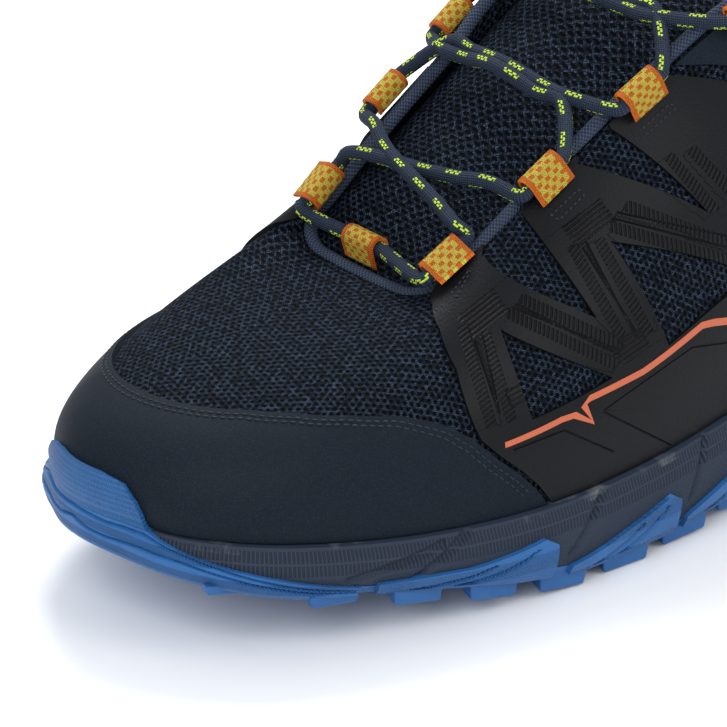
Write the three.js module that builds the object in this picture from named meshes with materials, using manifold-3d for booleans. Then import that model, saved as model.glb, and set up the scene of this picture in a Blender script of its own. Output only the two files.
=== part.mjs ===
// Low-cut outdoor shoe for the left foot, in millimetres.
// The toe points to -X, the outer (lateral) side to -Y, and the sole stands on Z = 0.
import * as THREE from "three";
import { mergeVertices } from "three/addons/utils/BufferGeometryUtils.js";
import Module from "manifold-3d";

const wasm = await Module();
wasm.setup();

// Driving sizes of the last and the sole
const length = 300;
const ballWidth = 112;
const instepHeight = 123;
const heelHeight = 117;
const soleHeight = 38;

// Sizes of the pieces
const clear = 0.3;
const wall = 2;
const film = 0.8;
const soleFlare = 4.4;
const soleSeat = 0.5;
const slabThickness = 2.5;
const lugDepth = 4.5;
const podProud = 1.3;
const podRoot = 2.5;
const channelWidth = 1.8;
const channelDepth = 1.1;
const insoleThickness = 4;
const tonguePad = 5;
const tongueFree = 26;
const collarPad = 6;
const collarRise = 3;
const pipingWidth = 3.4;
const webbingWidth = 10.5;
const webbingThickness = 0.9;
const laceWidth = 3.5;
const laceRoom = 0.25;

// Faces of the layered upper, as offsets from the surface that the sections give
const filmFace = (film + clear) / 2;
const upperFace = filmFace - film - clear;
const liningFace = upperFace - wall;

// Sections of the last, from the toe tip along the lateral side and back along the medial one.
// x, topX: share of length; y, bulge, topY, reach: share of ballWidth; z: share of soleHeight;
// rise, drop: share of instepHeight; topZ: share of instepHeight round the throat,
// and of heelHeight round the collar.
const columns = ["x", "y", "z", "bulge", "rise", "topX", "topY", "topZ", "reach", "drop"];
const lateralThroat = [
  [0.03, 0.018, 0.816, 0.04, 0.163, 0.297, 0.027, 0.528, 0.482, 0.065],
  [0.041, -0.116, 0.816, 0.038, 0.163, 0.298, -0.054, 0.53, 0.464, 0.065],
  [0.067, -0.248, 0.789, 0.032, 0.163, 0.3, -0.129, 0.537, 0.393, 0.065],
  [0.123, -0.375, 0.763, 0.027, 0.179, 0.31, -0.192, 0.561, 0.286, 0.081],
  [0.22, -0.451, 0.684, 0.027, 0.195, 0.338, -0.21, 0.607, 0.196, 0.081],
  [0.333, -0.478, 0.632, 0.027, 0.22, 0.377, -0.214, 0.663, 0.143, 0.089],
  [0.447, -0.46, 0.658, 0.027, 0.252, 0.443, -0.214, 0.756, 0.116, 0.114],
  [0.56, -0.415, 0.737, 0.018, 0.276, 0.523, -0.223, 0.87, 0.098, 0.146],
  [0.68, -0.371, 0.816, 0.018, 0.276, 0.613, -0.268, 0.984, 0.054, 0.195],
];
const collar = [
  [0.8, -0.344, 0.895, 0.018, 0.244, 0.72, -0.304, 0.915, 0.027, 0.163],
  [0.893, -0.295, 0.947, 0.018, 0.228, 0.833, -0.277, 0.838, 0.036, 0.146],
  [0.957, -0.17, 1, 0.027, 0.228, 0.92, -0.152, 0.915, 0.054, 0.195],
  [0.98, 0, 1, 0.036, 0.228, 0.953, 0, 1, 0.071, 0.228],
  [0.957, 0.17, 1, 0.027, 0.228, 0.92, 0.152, 0.923, 0.054, 0.195],
  [0.893, 0.281, 0.947, 0.018, 0.228, 0.833, 0.277, 0.855, 0.036, 0.146],
  [0.8, 0.299, 0.895, 0.018, 0.244, 0.72, 0.312, 0.932, 0.027, 0.163],
];
const medialThroat = [
  [0.68, 0.29, 0.842, 0.018, 0.276, 0.613, 0.304, 1, 0.036, 0.195],
  [0.56, 0.308, 0.816, 0.027, 0.276, 0.523, 0.308, 0.902, 0.054, 0.146],
  [0.433, 0.348, 0.763, 0.036, 0.26, 0.443, 0.281, 0.793, 0.08, 0.114],
  [0.313, 0.38, 0.737, 0.022, 0.215, 0.37, 0.259, 0.687, 0.1, 0.089],
  [0.207, 0.38, 0.737, 0.013, 0.18, 0.328, 0.25, 0.618, 0.15, 0.081],
  [0.123, 0.333, 0.763, 0.02, 0.14, 0.305, 0.241, 0.569, 0.286, 0.081],
  [0.07, 0.239, 0.789, 0.03, 0.146, 0.295, 0.192, 0.538, 0.384, 0.065],
  [0.043, 0.134, 0.816, 0.038, 0.154, 0.295, 0.112, 0.53, 0.464, 0.065],
];

function sizedRows(table, topHeight) {
  const sizes = {
    x: length, topX: length, y: ballWidth, bulge: ballWidth, topY: ballWidth, reach: ballWidth,
    z: soleHeight, rise: instepHeight, drop: instepHeight, topZ: topHeight,
  };
  return table.map((shares) => shares.map((share, k) => share * sizes[columns[k]]));
}

const sections = [
  ...sizedRows(lateralThroat, instepHeight),
  ...sizedRows(collar, heelHeight),
  ...sizedRows(medialThroat, instepHeight),
];

// Height of the lug tips above the floor and depth of the lugs:
// share of length, share of soleHeight, share of lugDepth
const rocker = [
  [0, 0.6, 0.45], [0.033, 0.53, 0.45], [0.067, 0.46, 0.45], [0.1, 0.395, 0.5], [0.133, 0.342, 0.6],
  [0.167, 0.303, 0.75], [0.2, 0.25, 0.9], [0.237, 0.19, 1], [0.27, 0.137, 1], [0.303, 0.08, 1],
  [0.337, 0.037, 1], [0.36, 0.01, 1], [0.375, 0, 1], [0.47, 0, 1], [0.51, 0.03, 1], [0.55, 0.055, 1],
  [0.62, 0.055, 1], [0.67, 0.03, 1], [0.71, 0, 1], [0.945, 0, 1], [0.97, 0.04, 1], [1, 0.12, 1],
];

// Sole side from the bottom edge up to the lip: share of its height, share of soleFlare
const sideProfile = [[0, 0.4], [0.12, 0.7], [0.45, 1], [0.8, 0.8], [1, 0.45]];

// How much of the flare a station has, counted from the toe on either side
const flareRound = [[0, 0.15], [1, 0.35], [2, 0.75], [3, 1]];

// Linear interpolation in a table of [at, value, ...] rows
function along(table, at, column = 1) {
  const last = table.length - 1;
  if (at <= table[0][0]) return table[0][column];
  if (at >= table[last][0]) return table[last][column];
  const k = table.findIndex((row) => row[0] > at);
  const [low, high] = [table[k - 1], table[k]];
  return THREE.MathUtils.mapLinear(at, low[0], high[0], low[column], high[column]);
}

// Values of the section table between its rows, by a closed smooth curve through them
function sectionAt(station) {
  const count = sections.length;
  const turn = THREE.MathUtils.euclideanModulo(station, count);
  const row = Math.floor(turn);
  const t = turn - row;
  const [a, b, c, d] = [-1, 0, 1, 2].map((step) => sections[(row + step + count) % count]);
  return Object.fromEntries(columns.map((name, k) => [name, 0.5 * (2 * b[k] + (c[k] - a[k]) * t
    + (2 * a[k] - 5 * b[k] + 4 * c[k] - d[k]) * t ** 2
    + (3 * b[k] - a[k] - 3 * c[k] + d[k]) * t ** 3)]));
}

// Outward direction of the feather line in plan
function outward(station) {
  const step = 0.001;
  const [before, after] = [sectionAt(station - step), sectionAt(station + step)];
  return new THREE.Vector3(after.y - before.y, before.x - after.x, 0).normalize();
}

// A point of the last at a station and at a share of the way from the feather line to the top edge
function lastPoint(station, share) {
  const row = sectionAt(station);
  const feather = new THREE.Vector3(row.x, row.y, row.z);
  const top = new THREE.Vector3(row.topX, row.topY, row.topZ);
  const inward = feather.clone().sub(top).setZ(0).normalize();
  const low = feather.clone().addScaledVector(outward(station), row.bulge);
  low.z += row.rise;
  const high = top.clone().addScaledVector(inward, row.reach);
  high.z -= row.drop;
  const rest = 1 - share;
  return feather.multiplyScalar(rest ** 3)
    .addScaledVector(low, 3 * rest ** 2 * share)
    .addScaledVector(high, 3 * rest * share ** 2)
    .addScaledVector(top, share ** 3);
}

function lastNormal(station, share) {
  const step = 0.002;
  const around = lastPoint(station + step, share).sub(lastPoint(station - step, share));
  const across = lastPoint(station, share + step).sub(lastPoint(station, share - step));
  return around.cross(across).normalize();
}

function skin(station, share, offset) {
  return lastPoint(station, share).addScaledVector(lastNormal(station, share), offset);
}

// Stations round the shoe and shares up it that the layered pieces have in common
const halfStations = Array.from({ length: 24 }, (_, k) => k / 2);
const stations = [...halfStations, 12, ...halfStations.slice(1).reverse().map((s) => -s)];
const shares = [0, 0.1, 0.24, 0.41, 0.6, 0.8, 1];

// Height of the lugs' feet and of the slab's underside at a length
function lugTip(x) {
  return along(rocker, x / length) * soleHeight;
}

function slabFloor(x) {
  return lugTip(x) + along(rocker, x / length, 2) * lugDepth;
}

function soleBase(station) {
  return slabFloor(sectionAt(station).x);
}

function soleLip(station) {
  return sectionAt(station).z - soleSeat;
}

// Sole side: a point at a station, at a share of its height, pushed out from its profile
function soleSide(station, share, push = 0) {
  const row = sectionAt(station);
  const low = soleBase(station);
  const point = new THREE.Vector3(row.x, row.y, low + share * (soleLip(station) - low));
  const flare = soleFlare * along(flareRound, Math.abs(station)) * along(sideProfile, share);
  return point.addScaledVector(outward(station), flare + push);
}

// Share of the sole side's height at a height above its bottom edge
function shareAbove(station, height) {
  return height / (soleLip(station) - soleBase(station));
}

// Triangles over the end of a closed ring whose second half runs back along its first
function cover(size) {
  const triangles = [];
  for (let j = 0; j < Math.floor((size - 1) / 2); j += 1) {
    const back = size - 1 - j;
    triangles.push([j, j + 1, back]);
    if (j + 1 !== back - 1) triangles.push([j + 1, back - 1, back]);
  }
  return triangles;
}

// A closed geometry from points and triangles, turned right side out
function closedGeometry(points, triangles) {
  const volume = triangles.reduce((sum, [a, b, c]) => (
    sum + points[a].dot(points[b].clone().cross(points[c]))), 0);
  const faces = volume < 0 ? triangles.map(([a, b, c]) => [a, c, b]) : triangles;
  const geometry = new THREE.BufferGeometry();
  geometry.setAttribute("position", new THREE.Float32BufferAttribute(points.flatMap((p) => p.toArray()), 3));
  geometry.setIndex(faces.flat());
  return geometry;
}

// A skin over a row of closed rings, with its ends covered, or joined into a loop.
// The quads of a ring's second half are cut the other way, so that the two faces of a wall,
// one running up and the other down, have like facets.
function loft(rings, joined = false) {
  const size = rings[0].length;
  const triangles = [];
  const spans = joined ? rings.length : rings.length - 1;
  for (let i = 0; i < spans; i += 1) {
    const next = (i + 1) % rings.length;
    for (let j = 0; j < size; j += 1) {
      const [a, b] = [i * size + j, i * size + (j + 1) % size];
      const [c, d] = [next * size + (j + 1) % size, next * size + j];
      if (j < size / 2) triangles.push([a, b, c], [a, c, d]);
      else triangles.push([a, b, d], [b, c, d]);
    }
  }
  if (!joined) {
    const last = (rings.length - 1) * size;
    triangles.push(...cover(size).map(([a, b, c]) => [a, c, b]));
    triangles.push(...cover(size).map((face) => face.map((k) => k + last)));
  }
  return closedGeometry(rings.flat(), triangles);
}

// A skin over rings that lie one above the other round the whole shoe. Its floor and its
// roof run straight across from the lateral to the medial side.
function stack(rings) {
  const size = rings[0].length;
  const triangles = [];
  for (let i = 0; i < rings.length - 1; i += 1) {
    for (let j = 0; j < size; j += 1) {
      const [a, b] = [i * size + j, i * size + (j + 1) % size];
      triangles.push([a, b, b + size], [a, b + size, a + size]);
    }
  }
  const roof = (rings.length - 1) * size;
  for (let j = 0; j < size / 2; j += 1) {
    const [a, b, c, d] = [j, j + 1, size - j - 1, (size - j) % size];
    const strip = j === 0 ? [[a, b, c]] : [[a, b, d], [b, c, d]];
    const faces = strip.filter((face) => new Set(face).size === 3);
    triangles.push(...faces.map(([p, q, r]) => [p, r, q]));
    triangles.push(...faces.map((face) => face.map((k) => k + roof)));
  }
  return closedGeometry(rings.flat(), triangles);
}

// A geometry with its shared points joined, so that only the shape is left
function merged(geometry) {
  geometry.deleteAttribute("normal");
  geometry.deleteAttribute("uv");
  return mergeVertices(geometry, 0.001);
}

function toSolid(geometry) {
  return new wasm.Manifold(new wasm.Mesh({
    numProp: 3,
    vertProperties: new Float32Array(geometry.getAttribute("position").array),
    triVerts: new Uint32Array(geometry.getIndex().array),
  }));
}

function toGeometry(solid) {
  const { vertProperties, triVerts } = solid.getMesh();
  const geometry = new THREE.BufferGeometry();
  geometry.setAttribute("position", new THREE.BufferAttribute(vertProperties, 3));
  geometry.setIndex(new THREE.BufferAttribute(triVerts, 1));
  return geometry;
}

function joinAll(solids) {
  return solids.reduce((sum, solid) => sum.add(solid));
}

// A layer of the upper between two offsets, on the shared stations and shares
function layer(inner, outer) {
  return loft(stations.map((station) => [
    ...shares.map((share) => skin(station, share, outer)),
    ...shares.toReversed().map((share) => skin(station, share, inner)),
  ]), true);
}

const filmLayer = toSolid(layer(filmFace - film, filmFace));
const filmRoom = toSolid(layer(liningFace, filmFace + clear));

// Stations from one to another, the table's own among them
function steps(from, to, step, table = []) {
  const count = Math.ceil((to - from) / step);
  const even = Array.from({ length: count + 1 }, (_, k) => from + ((to - from) * k) / count);
  const own = table.map((row) => row[0]).filter((at) => at > from && at < to);
  return [...new Set([...even, ...own])].sort((a, b) => a - b);
}

// A thick block round a part of the upper's surface, to cut a piece of film out with.
// The edges table has rows of station, lower share and upper share.
function band(edges, side = 1) {
  const depth = { out: 5, in: -4 };
  const count = 4;
  const [from, to] = [edges[0][0], edges[edges.length - 1][0]];
  const rings = steps(from, to, 0.5, edges).map((station) => {
    const [low, high] = [along(edges, station, 1), along(edges, station, 2)];
    const up = Array.from({ length: count + 1 }, (_, k) => low + ((high - low) * k) / count);
    return [
      ...up.map((share) => skin(side * station, share, depth.out)),
      ...up.toReversed().map((share) => skin(side * station, share, depth.in)),
    ];
  });
  return toSolid(loft(rings));
}

// A cutter for a window, whose corners are a station and a share
function windowCut(corners, side) {
  const depths = [5, 0.2, -4];
  return toSolid(loft(depths.map((depth) => (
    corners.map(([station, share]) => skin(side * station, share, depth))))));
}

// Frame on the top edge: down the upper, away from its face, and along the edge
function edgeFrame(station) {
  const step = 0.01;
  const origin = lastPoint(station, 1);
  const away = lastNormal(station, 1);
  const edge = lastPoint(station + step, 1).sub(lastPoint(station - step, 1)).normalize();
  const down = edge.clone().cross(away).normalize();
  return { origin, down, away, edge };
}

function onFrame(frame, down, away, edge = 0) {
  return frame.origin.clone()
    .addScaledVector(frame.down, down)
    .addScaledVector(frame.away, away)
    .addScaledVector(frame.edge, edge);
}

// Toe cap: lower and upper edge round the toe, tip at station 0, medial stations below it
const capEdge = [
  [-5.04, -0.1, -0.02], [-4.94, -0.1, 0.057], [-4.8, -0.1, 0.123], [-4.62, -0.1, 0.193],
  [-4.41, -0.1, 0.283], [-4.19, -0.1, 0.353], [-3.6, -0.1, 0.43], [-2.6, -0.1, 0.475], [-1, -0.1, 0.49], [0.3, -0.1, 0.503],
  [1.2, -0.1, 0.517], [1.9, -0.1, 0.537], [2.55, -0.1, 0.527], [3.16, -0.1, 0.493],
  [3.7, -0.1, 0.443], [4.19, -0.1, 0.353], [4.41, -0.1, 0.283], [4.62, -0.1, 0.193],
  [4.8, -0.1, 0.123], [4.94, -0.1, 0.057], [5.04, -0.1, -0.02],
];

function toeCap() {
  return filmLayer.intersect(band(capEdge));
}

// Side cage: station, lower edge, upper edge; the medial one is the same, mirrored
const cageEdge = [
  [3.05, 1, 1.06], [3.5, 0.88, 1.06], [3.85, 0.74, 1.06], [4.18, 0.553, 1.06],
  [4.41, 0.353, 1.06], [4.6, 0.24, 1.06], [4.82, 0.14, 1.06], [5, 0.06, 1.06],
  [5.12, -0.08, 1.06], [7.02, -0.08, 1.06], [7.04, -0.08, 1], [7.48, -0.08, 0.83],
  [8.2, -0.08, 0.66], [9.55, -0.08, 0.42],
];
const cageWindows = [
  [[4.66, 0.627], [4.9, 0.29], [5.65, 0.297]],
  [[5.61, 0.49], [4.4, 0.955], [4.5, 1.1], [5.19, 1.1], [5.19, 0.98]],
  [[5.95, 0.673], [6.21, 0.29], [7.15, 0.32]],
  [[6.89, 0.547], [5.96, 0.97], [5.98, 1.1], [6.4, 1.1], [6.4, 0.98]],
  [[7.25, 0.68], [7.55, 0.26], [8.55, 0.28]],
];

function cage(side) {
  const openings = joinAll(cageWindows.map((corners) => windowCut(corners, side)));
  return filmLayer.intersect(band(cageEdge, side)).subtract(openings);
}

// Synthetic panel over the ankle, from the last eyelet back to the heel counter
const ankleEdge = [
  [7.14, 1.02, 1.06], [7.21, 0.99, 1.06], [7.53, 0.873, 1.06], [8.2, 0.74, 1.06],
  [9.4, 0.56, 1.06], [10.1, 0.62, 1.06], [10.8, 0.76, 1.06],
];

function anklePanel(side) {
  return filmLayer.intersect(band(ankleEdge, side));
}

// Heel counter, round the back from the lateral to the medial side
const counterEdge = [
  [9.65, -0.08, 0.4], [10.1, -0.08, 0.56], [10.85, -0.08, 0.72], [12, -0.08, 0.84],
  [13.15, -0.08, 0.72], [13.9, -0.08, 0.56], [14.35, -0.08, 0.4],
];

function heelCounter() {
  return filmLayer.intersect(band(counterEdge));
}

// Rings of the sole at a share of its side, or at a height above its bottom edge
function soleRing(shareAt, push = 0) {
  return stations.map((station) => soleSide(station, shareAt(station), push));
}

// A rib round a stretch of the sole side, from its bottom edge to a changing top edge.
// The edge table has rows of station and share of the side's height.
function sideRib(edge, grow, side = 1) {
  const last = edge.length - 1;
  return toSolid(loft(edge.map(([station, height], k) => {
    const turn = side * (station + (k === last ? grow / 30 : 0) - (k === 0 ? grow / 30 : 0));
    const top = height + shareAbove(turn, grow);
    const outer = [0, 0.5, 1].map((row) => soleSide(turn, row * top, podProud + grow));
    return [...outer, soleSide(turn, top, -podRoot - grow), soleSide(turn, 0, -podRoot - grow)];
  })));
}

// Rubber pods up the side: station and share of the side's height at both ends of each
const pods = [
  [[3.64, 0.27], [4.35, 0.4], [4.93, 0.66], [5.03, 0.55]],
  [[5.18, 0.15], [5.71, 0.42], [6.08, 0.58], [6.16, 0.48]],
  [[6.26, 0.16], [6.8, 0.42], [7.28, 0.56], [7.36, 0.46]],
  [[7.46, 0.15], [8, 0.4], [8.42, 0.53], [8.5, 0.44]],
  [[8.6, 0.15], [9.2, 0.38], [9.72, 0.5], [9.8, 0.42]],
  [[9.92, 0.15], [10.6, 0.36], [11.16, 0.46], [11.24, 0.4]],
];
const heelPod = [[11.36, 0.36], [11.7, 0.42], [12, 0.46], [12.3, 0.42], [12.64, 0.36]];

function allPods(grow) {
  const sides = pods.flatMap((edge) => [sideRib(edge, grow, 1), sideRib(edge, grow, -1)]);
  return joinAll([...sides, sideRib(heelPod, grow)]);
}

// Toe bumper: station, share up the upper above the lip, or share of the sole side less one
const bumperEdge = [
  [-3.5, -0.78], [-3, -0.55], [-2.4, -0.35], [-1.95, -0.12], [-1.7, 0.06], [-1.3, 0.15],
  [-0.7, 0.2], [0, 0.22], [0.8, 0.21], [1.3, 0.15], [1.7, 0.06], [1.95, -0.12],
  [2.4, -0.35], [3, -0.55], [3.5, -0.78],
];
const bumperFace = 2;

function bumper(grow) {
  const point = (station, height, outside) => {
    if (height > 0) return skin(station, height, outside ? bumperFace : filmFace + 3 * clear);
    return soleSide(station, 1 + height, outside ? podProud + grow : -podRoot - grow);
  };
  const side = [-1, -0.5, 0, 0.001];
  const reach = bumperEdge[bumperEdge.length - 1][0];
  const inside = stations.filter((station) => Math.abs(station) < reach).sort((a, b) => a - b);
  const ends = reach + grow / 15;
  const shape = toSolid(loft([-ends, ...inside, ends].map((station) => {
    const top = along(bumperEdge, station);
    const end = top + shareAbove(station, grow);
    const even = Array.from({ length: 6 }, (_, k) => -1 + ((end + 1) * k) / 5);
    const heights = top > 0 ? [...side, Math.min(shares[1], top / 2), top] : even;
    return [
      ...heights.map((height) => point(station, height, true)),
      ...heights.toReversed().map((height) => point(station, height, false)),
    ];
  })));
  return shape.subtract(filmRoom);
}

// Station whose feather point lies at a length, on the lateral (1) or medial (-1) side
function stationAt(x, side) {
  let [low, high] = [0, 12];
  for (let k = 0; k < 30; k += 1) {
    const middle = (low + high) / 2;
    if (sectionAt(side * middle).x < x) low = middle;
    else high = middle;
  }
  return side * low;
}

// A lug: a tapered block under the slab, given by the corners of its foot
function lug(corners) {
  const taper = 1.1;
  const centre = corners.reduce((sum, p) => sum.add(p), new THREE.Vector2()).divideScalar(corners.length);
  const foot = corners.map((p) => new THREE.Vector3(p.x, p.y, lugTip(p.x)));
  const root = corners.map((p) => {
    const wide = p.clone().sub(centre).multiplyScalar(taper).add(centre);
    return new THREE.Vector3(wide.x, wide.y, slabFloor(p.x) + slabThickness / 3);
  });
  return toSolid(loft([foot, root]));
}

// Lugs along both edges and chevrons between them, a row for each pitch of the tread
const lugPitch = 20;
const lugLength = 13;
const edgeLugWidth = 15;
const chevronSweep = 5;

function tread() {
  const rows = Math.floor((0.9 * length) / lugPitch);
  const lugs = [];
  for (let k = 0; k < rows; k += 1) {
    const x = 0.085 * length + k * lugPitch;
    const [front, back] = [x - lugLength / 2, x + lugLength / 2];
    const edgeY = [1, -1].map((side) => {
      const edge = soleSide(stationAt(x, side), 0, -0.4);
      return edge.y;
    });
    edgeY.forEach((y, n) => {
      const inner = y + (n === 0 ? edgeLugWidth : -edgeLugWidth);
      const sweep = chevronSweep;
      lugs.push(lug([
        new THREE.Vector2(front, y), new THREE.Vector2(back, y),
        new THREE.Vector2(back + sweep, inner), new THREE.Vector2(front + sweep, inner),
      ]));
    });
    const middle = (edgeY[0] + edgeY[1]) / 2;
    const half = (edgeY[1] - edgeY[0]) / 2 - edgeLugWidth - 4;
    if (half > 5) {
      lugs.push(lug([
        new THREE.Vector2(front + chevronSweep, middle - half), new THREE.Vector2(back, middle - half),
        new THREE.Vector2(back, middle + half), new THREE.Vector2(front + chevronSweep, middle + half),
        new THREE.Vector2(front, middle),
      ]));
    }
  }
  return joinAll(lugs);
}

function outsole() {
  const top = (station) => shareAbove(station, slabThickness);
  const slab = toSolid(stack([soleRing(() => 0), soleRing((s) => top(s) / 2), soleRing(top)]));
  return joinAll([slab, bumper(0), allPods(0), tread()]);
}

// Diagonal channels in the midsole side: station and share of both ends
const channels = [
  [[4.37, 0.98], [3.93, 0.3]], [[4.16, 0.85], [3.43, 0.36]], [[5.5, 0.98], [5.17, 0.32]],
  [[6.5, 0.98], [6.3, 0.38]], [[7.66, 0.98], [7.46, 0.36]],
];

function channelCut([start, end], side) {
  const rings = [0, 0.5, 1].map((t) => {
    const station = side * THREE.MathUtils.lerp(start[0], end[0], t);
    const share = THREE.MathUtils.lerp(start[1], end[1], t);
    const point = soleSide(station, share);
    const out = outward(station);
    const run = soleSide(side * end[0], end[1]).sub(soleSide(side * start[0], start[1])).normalize();
    const across = run.cross(out).normalize().multiplyScalar(channelWidth / 2);
    const floor = point.clone().addScaledVector(out, -channelDepth);
    const mouth = point.clone().addScaledVector(out, channelWidth);
    return [floor, mouth.clone().addScaledVector(across, 2), mouth.clone().addScaledVector(across, -2)];
  });
  return toSolid(loft(rings));
}

function midsole() {
  const start = (station) => shareAbove(station, slabThickness + clear);
  const rings = [0, 0.3, 0.75, 1].map((t) => (
    soleRing((station) => THREE.MathUtils.lerp(start(station), 1, t))));
  const cuts = [1, -1].flatMap((side) => channels.map((ends) => channelCut(ends, side)));
  return toSolid(stack(rings)).subtract(bumper(clear)).subtract(allPods(clear)).subtract(joinAll(cuts));
}

function insole() {
  const inset = liningFace - 2 * clear;
  const ring = (height, push) => stations.map((station) => {
    const row = sectionAt(station);
    const point = new THREE.Vector3(row.x, row.y, soleLip(station) + height);
    return point.addScaledVector(outward(station), push);
  });
  return stack([
    ring(clear, inset), ring(clear + insoleThickness * 0.7, inset - 0.2),
    ring(clear + insoleThickness, inset - 2),
  ]);
}

// Tongue: its face keeps under the lining and arches up through the throat.
// Station, crown of the arch as a share of ballWidth, and share up the upper of the hidden wing
const tongueRows = [
  [4.2, -0.022, 0.9], [4.9, 0.045, 0.84], [5.7, 0.073, 0.82],
  [6.5, 0.088, 0.84], [7.3, 0.09, 0.87], [8, 0.085, 0.92],
];
// Its front end under the vamp: station and share from the wing to the middle
const tongueFront = [
  [[2.4, 0.91], [2.2, 0.92], [1.7, 0.925], [0.9, 0.93], [0, 0.93]],
  [[2.7, 0.93], [2.55, 0.95], [2, 0.975], [1, 0.985], [0, 0.985]],
];
const tongueTop = [[0.35, 0.98, 0.95], [0.7, 0.9, 0.85], [0.92, 0.76, 0.6], [1, 0.56, 0.5]];
const tongueClear = 3 * clear;
const tongueSink = 1.5;
const tongueShoulder = 1.4;
const tongueDip = 4;
const tongueThin = [0.3, 0.8, 1, 1, 1, 1, 1, 0.8, 0.3];

// Points of the tongue's face, each with the direction in which its padding lies under it
function tongueFaces() {
  const face = liningFace - tongueClear;
  const under = (station, share, dip = 0) => {
    const point = skin(station, share, face);
    point.z -= tongueSink + dip;
    return { point, inward: new THREE.Vector3(0, 0, -1).addScaledVector(lastNormal(station, share), -0.5).normalize() };
  };
  const rows = tongueFront.map((half) => [
    ...half.map(([station, share]) => under(station, share, tongueDip)),
    ...half.toReversed().slice(1).map(([station, share]) => under(-station, share, tongueDip)),
  ]);
  tongueRows.forEach(([station, crown, wing]) => {
    const arch = ballWidth * crown;
    const [lateral, medial] = [under(station, 1), under(-station, 1)];
    const inward = lateral.inward.clone().add(medial.inward).normalize();
    const bow = [0.22, 0.5, 0.78].map((w) => {
      const chord = lateral.point.clone().lerp(medial.point, w);
      return { point: chord.addScaledVector(inward, -arch * Math.sin(Math.PI * w) ** tongueShoulder), inward };
    });
    const half = (wing + 1) / 2;
    rows.push([
      under(station, wing), under(station, half), lateral, ...bow, medial,
      under(-station, half), under(-station, wing),
    ]);
  });
  const last = rows[rows.length - 1];
  const before = rows[rows.length - 2];
  const rise = last[4].point.clone().sub(before[4].point).setY(0).normalize();
  const lean = new THREE.Vector3(rise.x * 0.75, 0, rise.z * 1.25).normalize();
  tongueTop.forEach(([climb, width]) => {
    rows.push(last.map(({ point, inward }) => {
      const moved = point.clone().addScaledVector(lean, tongueFree * climb);
      moved.y = last[4].point.y + (point.y - last[4].point.y) * width;
      return { point: moved, inward };
    }));
  });
  return rows;
}

function tongue() {
  const rows = tongueFaces();
  const rings = rows.map((row, i) => {
    const ends = i === 0 || i === rows.length - 1 ? 0.4 : 1;
    const lining = row.map(({ point, inward }, j) => (
      point.clone().addScaledVector(inward, tonguePad * tongueThin[j] * ends)));
    return [...row.map(({ point }) => point), ...lining.toReversed()];
  });
  return loft(rings);
}

// Padded collar lining: a roll inside the top edge, from behind the eyelets round the heel
function collarLining() {
  const face = liningFace - clear;
  return loft(stations.filter((s) => s > 8.4 || s < -8.4).map((station) => {
    const frame = edgeFrame(station);
    return [
      skin(station, 0.65, face), skin(station, 0.78, face), skin(station, 0.9, face),
      skin(station, 1, face),
      onFrame(frame, -2 * clear, liningFace - clear), onFrame(frame, -2 * clear, upperFace - clear),
      onFrame(frame, -collarRise * 0.8, upperFace - 1.2),
      onFrame(frame, -collarRise, liningFace - 2), onFrame(frame, -collarRise * 0.5, liningFace - collarPad * 0.8),
      skin(station, 0.95, face - collarPad), skin(station, 0.82, face - collarPad),
      skin(station, 0.72, face - collarPad * 0.5),
    ];
  }));
}

// Knitted piping along the throat edge
function throatPiping() {
  const radius = pipingWidth / 2;
  const middle = (upperFace + liningFace) / 2;
  const path = stations.filter((s) => Math.abs(s) < 8.1);
  const ordered = path.toSorted((a, b) => a - b);
  return loft(ordered.map((station) => {
    const frame = edgeFrame(station);
    return Array.from({ length: 6 }, (_, k) => {
      const angle = (k * Math.PI) / 3;
      const down = -radius - clear + radius * Math.cos(angle);
      return onFrame(frame, down, middle + radius * Math.sin(angle));
    });
  }));
}

// Webbing loop: a folded strip whose fold holds the lace
const foldRadius = laceWidth / 2 + laceRoom;
const foldDown = -1.6;
const foldAway = filmFace + 1.5 * clear + webbingThickness + foldRadius;
const laceStand = 2.3;
const webbingTail = 5.5;

function webbingLoop(frame, tail, turn = 0) {
  const outer = foldRadius + webbingThickness;
  const round = Array.from({ length: 7 }, (_, k) => -Math.PI * (0.5 + (1.15 * k) / 6));
  const onRound = (radius) => round.map((angle) => (
    new THREE.Vector2(radius * Math.cos(angle), radius * Math.sin(angle))));
  const outside = [
    ...onRound(outer), new THREE.Vector2(tail, -outer + 2 * webbingThickness), new THREE.Vector2(tail, -outer),
  ];
  const inside = [
    ...onRound(foldRadius), new THREE.Vector2(tail * 0.75, -foldRadius + 0.15),
    new THREE.Vector2(tail * 0.7, -foldRadius),
  ];
  const centre = new THREE.Vector2();
  const place = (point, edge) => {
    const turned = point.clone().rotateAround(centre, turn);
    return onFrame(frame, foldDown + turned.x, foldAway + turned.y, edge);
  };
  const half = webbingWidth / 2;
  return toSolid(loft(outside.map((point, k) => [
    place(point, half), place(point, -half), place(inside[k], -half), place(inside[k], half),
  ]), true));
}

const lateralLoops = [3.65, 5.58, 6.76, 7.8];
const medialLoops = [-3.9, -5.5, -6.5, -7.6];

// The loop in the middle of the throat front stands up behind the piping
const frontLoopStation = -0.45;
const frontLoopBack = 5.2;
const frontLoopTail = 5;
const frontLoopTurn = -0.3 * Math.PI;

function frontFrame() {
  const frame = edgeFrame(frontLoopStation);
  frame.origin = onFrame(frame, -frontLoopBack, 0);
  return frame;
}

// Where the lace leaves a loop: at its front (-1) or back (1) side, in the fold
function foldEnd(station, way) {
  const frame = edgeFrame(station);
  const toBack = Math.sign(station) * way;
  return onFrame(frame, foldDown, foldAway, toBack * (webbingWidth / 2 + laceStand));
}

// Height of a lace over the tongue's face where it lies on it, and over the throat's
// chord where it runs straight from loop to loop
const laceLift = laceWidth / 2 + 3 * clear;
const laceStraight = foldAway + 2.1;

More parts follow.
